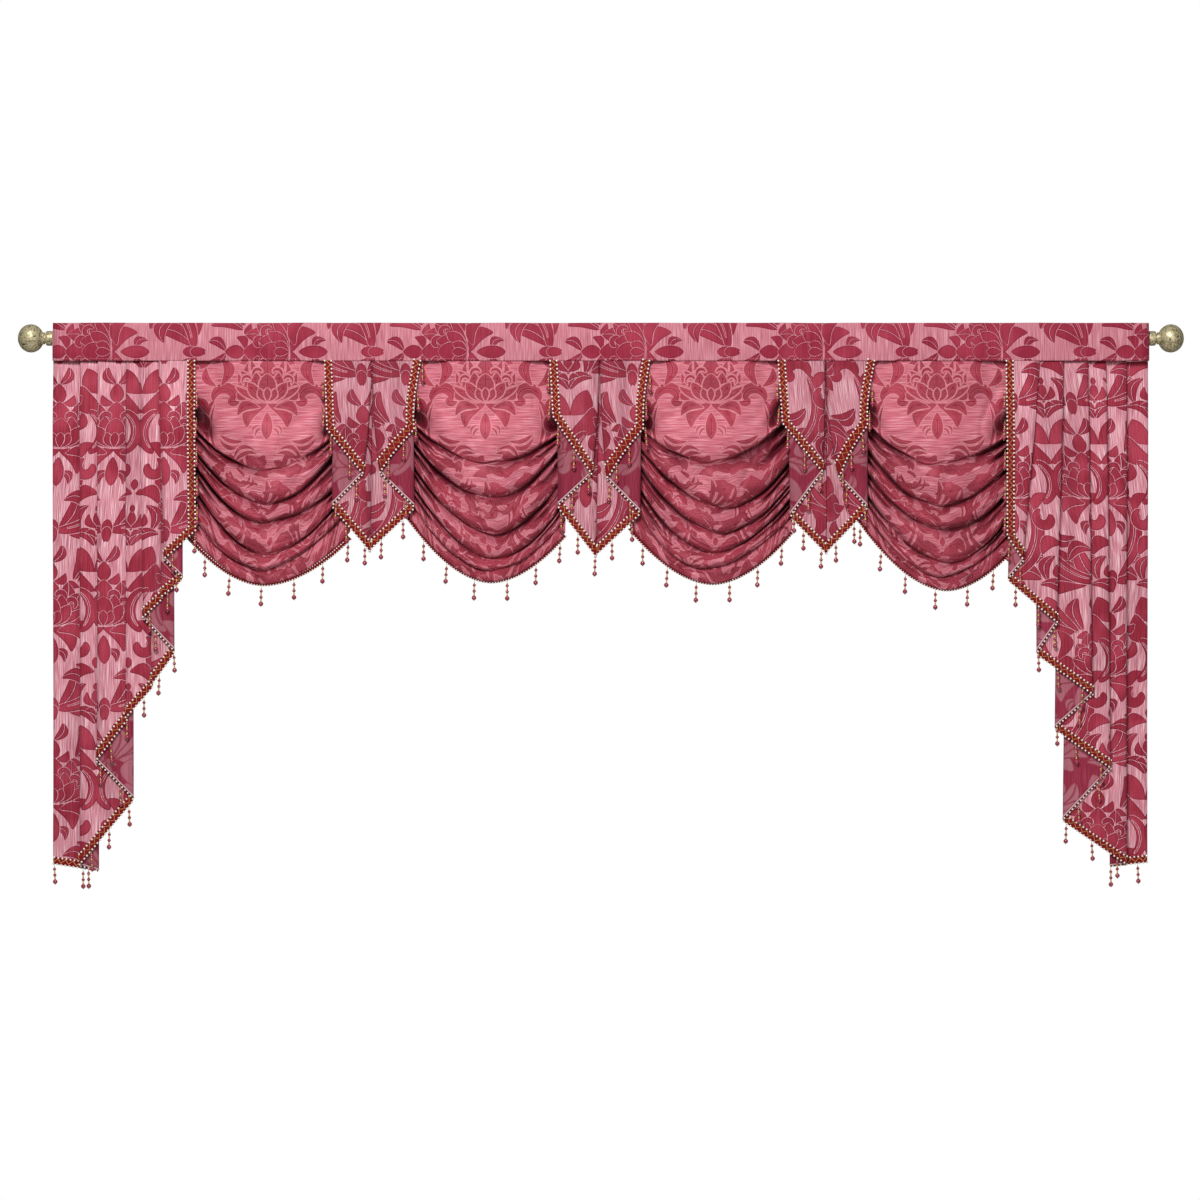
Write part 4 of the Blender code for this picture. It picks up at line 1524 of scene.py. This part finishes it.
# How far the creases stand out or go in, in the middle and at the sides.
SOFT_WAVES, FINE_WAVES, PINCHES = (2.8, 3.8), (1.7, 2.4), (2.8, 4.8)
PINCH_LONG, PINCH_SHORT = 0.13, 0.15  # how wide the pinched lines are, in the noise's height
CREASE_RISE = 5  # the creases reach their full depth at one part in this many of the way down
SHADE_DEPTH = 15.0  # how deep a groove is when its painted shade is darkest
HOLLOW_SHADE = (0.6, 0.85)  # how dark that painted shade is, in the middle and at the sides
LOW_SHADE = 0.2  # how much painted shade darkens the satin lower down, where it lies in folds
LOW_SHADE_FROM, LOW_SHADE_RUN = 0.36, 0.22  # where that starts and over which share it grows
SIDE_Y = -9.0
BELLY = 47.0  # how far the lowest part of the middle stands out
BELLY_POWERS = (1.6, 1.5)  # of the curve in which it falls away to the sides
BELLY_TURN = 100  # degrees of a sine, from the seam to the hem
HEM_FLAT = 12.0
SAG = 1.8  # power of the curve in which a fold line hangs
GROOVE_WANDER = 5.0  # how far a groove strays from it
FIGURE_BELOW_SEAM = 95.0  # where the figure's heart is
HEM_BRAID_WIDTH, HEM_BRAID_STEP = 15.0, 4.0
HEM_BRAID_FACES = (0.5, 1.9)  # how far behind the cloth the hem's braid has its two faces
HEM_BRAID_BULGE = 0.5  # how much further its middle goes back
HEM_BEADS_IN = (1.0, 8.0)  # how far in its rows of beads are: the inner one shows at the ends
HEM_BEADS_BACK = 1.2  # how far behind the cloth both are
HEM_BEADS_PITCH, HEM_BEADS_RADIUS = 0.7, 0.75  # as shares of the other braids' beads


@dataclass(frozen=True)
class Swag:
    """A swag: one cloth gathered at its sides, so that it hangs in deep curved folds."""

    index: int
    middle: float
    half: float
    first_drop: float
    lines: tuple[FoldLine, ...]
    overhang: float = 3.0
    side_reveal: float = 7.0  # how much further the braid shows under the hem's two ends
    columns: int = 110
    fold_steps: int = 3
    drop_pitch: float = 74.0

    @property
    def name(self) -> str:
        """The name of the swag's solid."""
        return f"swag_{self.index}"

    @property
    def per_fold(self) -> int:
        """How many rows of points each fold has."""
        return len(FOLD_SECTION) * self.fold_steps

    def line_drop(self, at: int, x: float) -> float:
        """How far below the rod's axis a groove hangs at x from the swag's middle."""
        line = self.lines[at]
        side, reach = (line.right, self.half) if x > line.low_x else (line.left, -self.half)
        share = abs((x - line.low_x) / (reach - line.low_x))
        drop = mix(line.low, side, share**SAG)
        if at < len(self.lines) - 1:
            drop += GROOVE_WANDER * wobble(x / 48, at * 3.1, self.index * 7.7) * (1 - share**4)
        return drop

    def fold_depth(self, at: int, x: float) -> float:
        """How deep the fold above a groove is at x."""
        side, middle = FOLD_DEPTHS[at]
        wander = 1 + DEPTH_WANDER * wobble(x / 60, at * 5.3, self.index * 3.3)
        return mix(middle, side, abs(x / self.half) ** 1.5) * wander

    def hidden(self, x: float) -> float:
        """How much of the figure each groove takes in at x."""
        return mix(*FOLD_HIDES, wobble(x / 70, 0, self.index * 5.9) + 0.5)

    def split(self, at: int, x: float) -> float:
        """How deep the second groove is that splits a fold near the swag's sides."""
        own = wobble(at * 1.7, math.copysign(3.3, x), self.index * 2.9)
        share = ease((abs(x / self.half) - SPLIT_FROM - SPLIT_WANDER * own) / SPLIT_RUN)
        return share * mix(*SPLIT_DEPTH, own)

    def crease(self, x: float, fold: float) -> float:
        """How far the small creases stand out at x, so many folds down, so that they run with
        the folds: soft waves, and sharp pinched lines that are deeper near the sides."""
        side = min(abs(x / self.half), 1.0)
        soft = wobble(x / 85, fold * 2.3, self.index * 9.1)
        fine = wobble(x / 45, fold * 5.2, self.index * 4.7)
        line = wobble(x / 130, fold * 2.1, self.index * 6.1)
        sharp = wobble(x / 74, fold * 4.4, self.index * 2.3)
        pinch = max(0.0, 1 - abs(line) / PINCH_LONG) ** 1.5
        pinch += 0.5 * max(0.0, 1 - abs(sharp) / PINCH_SHORT) ** 1.5
        waves = mix(*SOFT_WAVES, side**2) * soft + mix(*FINE_WAVES, side) * fine
        return waves - mix(*PINCHES, side) * pinch

    def mean_y(self, x: float, depth: float) -> float:
        """The swag's depth without its folds: its belly grows downwards and to the middle."""
        across = (1 - min(abs(x / self.half), 1) ** BELLY_POWERS[0]) ** BELLY_POWERS[1]
        lift = TOP_LIFT * ease((self.half - LIFT_ENDS - abs(x)) / LIFT_RAMP)
        lift *= 1 - ease(depth / LIFT_RUN)
        return SIDE_Y - lift - BELLY * math.sin(math.radians(BELLY_TURN * depth)) * across

    @lru_cache(maxsize=None)
    def column(self, step: int) -> list[tuple[float, float, float]]:
        """One column of the swag from the seam to the hem, as (y, drop, depth in a crease)."""
        x = mix(-self.half, self.half, step / self.columns)
        *grooves, hem = (self.line_drop(at, x) for at in range(len(self.lines)))
        side = abs(x / self.half)
        drawn_in = ease((side - POCKET_FROM) / POCKET_RUN)
        knots: list[Pair] = [(0.0, TOP)]
        for at, (above, below) in enumerate(zip([TOP, *grooves], grooves)):
            depth = self.fold_depth(at, x)
            for share, soft, pinched in FOLD_SECTION:
                out = mix(soft, pinched, side)
                if at == 0 and share < POCKET_END:
                    pocket = drawn_in * math.exp(-(((share - POCKET_AT) / POCKET_SPREAD) ** 2))
                    out = max(out, 0) * share**2 - POCKET / depth * pocket
                elif share == SPLIT_AT:
                    out -= self.split(at, x)
                out *= mix(*(CREST if out > 0 else GROOVE), side)
                knots.append((depth * out, mix(above, below, share)))
        depth, room = self.fold_depth(len(grooves), x), hem - HEM_FLAT - grooves[-1]
        for share, out, _ in FOLD_SECTION[:5]:
            knots.append((depth * out * LAST_FOLD, grooves[-1] + share * room))
        curve = smooth_line(knots, self.fold_steps)
        points = []
        for k, (out, drop) in enumerate(curve):
            share = (drop - TOP) / (hem - TOP)
            out += self.crease(x, k / self.per_fold) * ease(share * CREASE_RISE)
            points.append((self.mean_y(x, share) - out, drop, max(0.0, -out / SHADE_DEPTH)))
        last = points[-1][0]
        points += [(last, hem - HEM_FLAT / 2, 0.0), (last, hem, 0.0)]
        return points

    def at(self, across: float, drop: float, height: float) -> Vector:
        """The point over a place near the hem, at a height off the face's side."""
        place = (across / self.half + 1) / 2 * self.columns
        step = min(max(int(place), 0), self.columns - 1)
        y = mix(self.column(step)[-1][0], self.column(step + 1)[-1][0], place - step)
        return Vector((self.middle + across, y - height, -drop))

    def build(self) -> list[Object]:
        columns = [self.column(step) for step in range(self.columns + 1)]
        offsets = [mix(-self.half, self.half, k / self.columns) for k in range(self.columns + 1)]
        lengths = [runs([point[:2] for point in column]) for column in columns]
        points, places, painted_shades = [], [], []
        for row in range(len(columns[0])):
            fold = row // self.per_fold
            for x, column, gone in zip(offsets, columns, lengths):
                y, drop, painted_shade = column[row]
                points.append((self.middle + x, y, -drop))
                places.append((
                    x + fold * FOLD_SHIFTS, FIGURE_BELOW_SEAM - gone[row] - fold * self.hidden(x)
                ))
                # Painted shade: in the grooves, and more of it lower down, where the folds lie.
                low = ease((drop / column[-1][1] - LOW_SHADE_FROM) / LOW_SHADE_RUN)
                shade = ease(painted_shade) * mix(*HOLLOW_SHADE, abs(x / self.half))
                painted_shades.append(shade + LOW_SHADE * low)
        grid = len(columns[0]), len(columns)
        cloth = new_cloth(
            f"{self.name}_cloth", self.name, Finish.DRAPED, grid, points, places, painted_shades
        )
        trims = self.build_trim()
        rows = [points[k : k + grid[1]] for k in range(0, len(points), grid[1])]
        width = max(runs(row)[-1] for row in rows)
        return [cloth, *trims]

    def build_trim(self) -> list[Object]:
        """The braid sewn behind the hem, with its beads below the cloth, and its drops."""
        last = len(self.lines) - 1
        hem = []
        for k in range(self.columns + 1):
            share = 2 * k / self.columns - 1
            shown = mix(0.0, self.side_reveal, abs(share) ** 1.5)
            hem.append((share * self.half, -self.line_drop(last, share * self.half) - shown))
        fringe = Fringe(width=HEM_BRAID_WIDTH, overhang=self.overhang, step=HEM_BRAID_STEP)
        stations = fringe.stations(hem)
        low, high = -fringe.overhang, fringe.width - fringe.overhang
        middle, (near, far) = mix(low, high, 0.5), (-FACE - back for back in HEM_BRAID_FACES)
        section = [(low, near), (middle, near), (high, near)]
        section += [(high, far), (middle, far - HEM_BRAID_BULGE), (low, far)]
        band = fringe.strip(f"{self.name}_braid", self, stations, section, Finish.BAND)
        at = -FACE - HEM_BEADS_BACK
        rows = [fringe.line(self, stations, low + inwards, at) for inwards in HEM_BEADS_IN]
        beads = Tree.grow(
            line_object(f"{self.name}_beads", rows), Tree.bead_rows(),
            Pitch=fringe.bead_pitch * HEM_BEADS_PITCH,
            Radius=fringe.bead_radius * HEM_BEADS_RADIUS,
        )
        drops = fringe.drops(self.name, self, stations, self.drop_pitch, self.first_drop)
        beadwork = joined(f"{self.name}_beadwork", [beads, drops])
        node = f"{self.name}_fringe"
        return [dress(band, Slot.TRIM, node), dress(beadwork, Slot.TRIM, node)]


SWAGS = (
    Swag(1, -760, 188, 66, (
        FoldLine(182, -4, 301, 183),
        FoldLine(227, -4, 379, 209),
        FoldLine(254, -4, 421, 306),
        FoldLine(308, 1, 493, 333),
        FoldLine(382, -18, 529, 386),
        FoldLine(435, -4, 562, 443),
    ), overhang=4.5, side_reveal=13.0),
    Swag(2, -263, 182, 68, (
        FoldLine(179, 1, 283, 210),
        FoldLine(212, 15, 368, 232),
        FoldLine(265, 19, 446, 309),
        FoldLine(307, 24, 504, 366),
        FoldLine(358, 10, 531, 412),
        FoldLine(399, 13, 557, 444),
    )),
    Swag(3, 251, 186, 48, (
        FoldLine(184, -7, 282, 171),
        FoldLine(217, 31, 388, 274),
        FoldLine(256, 25, 444, 327),
        FoldLine(303, 2, 490, 359),
        FoldLine(361, -26, 527, 404),
        FoldLine(428, 2, 561, 437),
    )),
    Swag(4, 766, 184, 22, (
        FoldLine(162, -9, 285, 212),
        FoldLine(210, 2, 381, 274),
        FoldLine(268, 14, 438, 327),
        FoldLine(315, 27, 514, 381),
        FoldLine(363, 7, 545, 425),
        FoldLine(400, 18, 575, 466),
    )),
)


# --- Heading, rod and finials ------------------------------------------------------------------


@dataclass(frozen=True)
class Heading:
    """The rod pocket: a strip folded over the rod, with a fin above it and a seam below."""

    step: float = 20.0
    figure_z: float = -34.0
    figure_x: float = -1117.0
    stitch_pitch: float = 5.2
    stitch_length: float = 3.6
    stitch_radius: float = 0.42
    stitch_y: float = -23.2
    stitch_rise: float = 4.5  # above the seam
    stitch_inset: float = 2.0  # from the heading's ends
    stitch_points: int = 401

    # How the cloth strays from its section, in long waves and short ones: their length along
    # the heading and up it, a seed, and how deep they are. Below held_z the seam holds it.
    waves: tuple[tuple, ...] = ((130, 60, 2.5, 1.6), (35, 25, 8.5, 0.5))
    held_z: float = -45.0
    held: float = 0.4

    # How the fin's edge rises and falls: its waves' length, a seed, and how high they are, and
    # from what height and over what run they grow.
    edge_wave: tuple[float, float, float] = (90, 4.5, 0.7)
    edge_grows: Pair = (10, 20)

    # Its section as (y, z), from the seam up the front, over the fin and the rod, and down.
    section: tuple[Pair, ...] = (
        (-12, -52.3), (-20.5, -52.4), (-22.5, -51.5), (-22.6, -46), (-22.5, -25), (-21.6, -8),
        (-20.6, 5), (-18.7, 20), (-16.9, 32), (-15.6, 34), (-14.0, 33), (-13.2, 20), (-6, 18),
        (2, 17), (10.4, 13.8), (15.8, 8), (18.3, -4), (15, -25), (5, -49), (1, -52.3), (-11, -52.2),
    )

    def build(self) -> list[Object]:
        """Makes the pocket and the row of stitches along its seam."""
        curve = smooth_line(self.section, 3)
        gone = runs(curve)
        half = range(len(curve) // 2 + 1)
        front = min(half, key=lambda k: abs(curve[k][1] - self.figure_z))
        count = round(2 * HEADING_HALF / self.step)
        (long, seed, high), (grows_at, grow_run) = self.edge_wave, self.edge_grows
        points, places = [], []
        for k in range(count + 1):
            x = mix(-HEADING_HALF, HEADING_HALF, k / count)
            for (y, z), run in zip(curve, gone):
                sway = sum(wobble(x / a, z / b, own) * deep for a, b, own, deep in self.waves)
                rise = wobble(x / long, 0, seed) * high * ease((z - grows_at) / grow_run)
                points.append((x, y - sway * (self.held if z < self.held_z else 1.0), z + rise))
                places.append((run - gone[front], -(x - self.figure_x)))
        cloth = new_cloth(
            "heading_pocket", "heading", Finish.HEADING, (count + 1, len(curve)), points, places,
            offset=-1.0,
        )
        end = HEADING_HALF - self.stitch_inset
        last, z = self.stitch_points - 1, -SEAM + self.stitch_rise
        row = [Vector((mix(-end, end, k / last), self.stitch_y, z)) for k in range(last + 1)]
        stitches = Tree.grow(
            line_object("heading_stitches", [row]), Tree.stitches(),
            Pitch=self.stitch_pitch, Length=self.stitch_length, Radius=self.stitch_radius,
        )
        dress(stitches, Slot.DAMASK)
        return [cloth, stitches]


@dataclass(frozen=True)
class Finial:
    """A turned ball with a neck ring and a barrel collar, dressed in metal leaf."""

    name: str
    side: int
    turns: int = 72

    # Its outline as (distance from the heading, radius), from the collar's mouth to the pole.
    collar: tuple[Pair, ...] = (
        (13, 0), (13, 14.3), (0, 14.3), (0, 15.6), (0.6, 16.3), (4, 16.8), (8.6, 16.9),
        (13.2, 16.8), (16.6, 16.3), (17.3, 15.4), (17.5, 12), (18.4, 11.2), (20.2, 11.4),
        (21.4, 13.4), (23, 14.1), (24.6, 13.6), (25.6, 13.2),
    )
    ball_centre: float = 52.4
    ball_length: float = 29.6
    ball_radius: float = 32.3
    ball_steps: int = 22
    play: float = 0.3  # between the heading's end and the collar
    dents: float = 0.004  # how much its radius strays, as a share

    def outline(self) -> list[Pair]:
        """The whole outline."""
        start = math.asin(self.collar[-1][1] / self.ball_radius)
        ball = []
        for k in range(1, self.ball_steps + 1):
            turn = mix(start, math.pi, k / self.ball_steps)
            ball.append((
                self.ball_centre - self.ball_length * math.cos(turn),
                self.ball_radius * math.sin(turn),
            ))
        return [*self.collar, *ball[:-1], (self.ball_centre + self.ball_length, 0.0)]

    def build(self) -> Object:
        """Turns the outline round the rod's axis, with one point at each pole."""
        outline = self.outline()
        start = HEADING_HALF + self.play
        points, faces = [(self.side * (start + outline[0][0]), 0.0, 0.0)], []
        for distance, radius in outline[1:-1]:
            for k in range(self.turns):
                turn = math.tau * k / self.turns
                y, z = math.cos(turn), math.sin(turn)
                rough = radius * (1 + self.dents * wobble(distance / 5, y * 6, z * 6))
                points.append((self.side * (start + distance), -rough * y, rough * z))
        points.append((self.side * (start + outline[-1][0]), 0.0, 0.0))
        for k in range(self.turns):
            after = (k + 1) % self.turns
            faces.append((0, 1 + after, 1 + k))
            base = len(points) - 1 - self.turns
            faces.append((len(points) - 1, base + k, base + after))
        faces += [
            tuple(1 + v for v in face)
            for face in grid_faces(len(outline) - 2, self.turns, closed=True)
        ]
        ball = new_object(f"{self.name}_turned", points, faces, finishes=[Finish.LEAF])
        if signed_volume(ball) < 0:
            ball.data.flip_normals()
        return dress(ball, Slot.METAL, self.name)


def signed_volume(ob: Object) -> float:
    """Three times a closed mesh's volume, below 0 where its faces look inwards."""
    return sum(face.area * face.normal.dot(face.center) for face in ob.data.polygons)


# --- Studio ------------------------------------------------------------------------------------


@dataclass(frozen=True)
class Studio:
    """A pale floor, a plain pale room, soft lights, and a camera square to the drape."""

    eye: tuple[float, float, float] = (-0.002, -7.62, -0.598)
    lens: float = 100.0
    sensor: float = 36.0
    room: str = "#ffffff"
    room_strength: float = 0.17  # what lights the drape, while the camera sees it as 1
    floor: str = "#e9e7e4"
    floor_z: float = -2100.0

    # The place, target, size and power of each light.
    lights: tuple[tuple, ...] = (
        ("key", (-0.9, -4.4, 2.7), (0, 0, -0.55), 1.5, 235),
        ("fill", (2.2, -4.6, 0.2), (0, 0, -0.6), 2.6, 35),
    )

    def build(self) -> None:
        """Sets up the room, the lights and the camera."""
        scene = bpy.context.scene
        scene.view_settings.view_transform = "Standard"
        world = bpy.data.worlds.new("plain pale room")
        world.use_nodes = True
        scene.world = world
        tree = world.node_tree
        background = tree.nodes["Background"]
        feed(tree, background.inputs["Color"], self.room)
        seen = add_node(tree, "ShaderNodeLightPath").outputs["Is Camera Ray"]
        low = self.room_strength
        strength = Signal(tree, seen).maths("MULTIPLY_ADD", 1 - low, low)
        feed(tree, background.inputs["Strength"], strength)

        camera = bpy.data.cameras.new("camera")
        camera.lens, camera.sensor_width = self.lens, self.sensor
        camera.clip_end = 50
        eye = link_object("camera", camera)
        eye.location = self.eye
        eye.rotation_euler = (math.radians(90), 0, 0)
        scene.camera = eye

        for light in self.lights:
            self.add_light(*light)
        self.add_floor()

    def add_light(
        self, name: str, place: Sequence[float], target: Sequence[float], size: float, power: float
    ) -> None:
        """Adds one soft square light that looks at a target."""
        lamp = bpy.data.lights.new(name, "AREA")
        lamp.size, lamp.energy = size, power
        light = link_object(name, lamp)
        light.location = place
        light.rotation_euler = (Vector(target) - Vector(place)).to_track_quat("-Z", "Y").to_euler()

    def add_floor(self) -> None:
        """Adds the floor below the drape, out of the camera's frame."""
        plan = ((-3000, -1500), (3000, -1500), (3000, 600), (-3000, 600))
        corners = [(x, y, self.floor_z) for x, y in plan]
        floor = new_object("floor", corners, [(0, 1, 2, 3)])
        material, tree, shader = new_finish("matt painted floor, pale")
        set_shader(tree, shader, Base_Color=self.floor, Roughness=0.8)
        floor.data.materials.append(material)


def main() -> None:
    """Builds the drape's looks in order, and reports each piece."""
    logging.basicConfig(level=logging.INFO, format="%(name)s: %(message)s")
    Heading().build()
    for piece in (*SWAGS, *FOLDED_PIECES):
        piece.build()
    for name, side in (("finial_left", -1), ("finial_right", 1)):
        Finial(name, side).build()
    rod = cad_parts["rod"]
    for slot in rod.material_slots:
        slot.material = finish_material(Finish.LEAF)
    Studio().build()


if __name__ == "__main__":
    main()
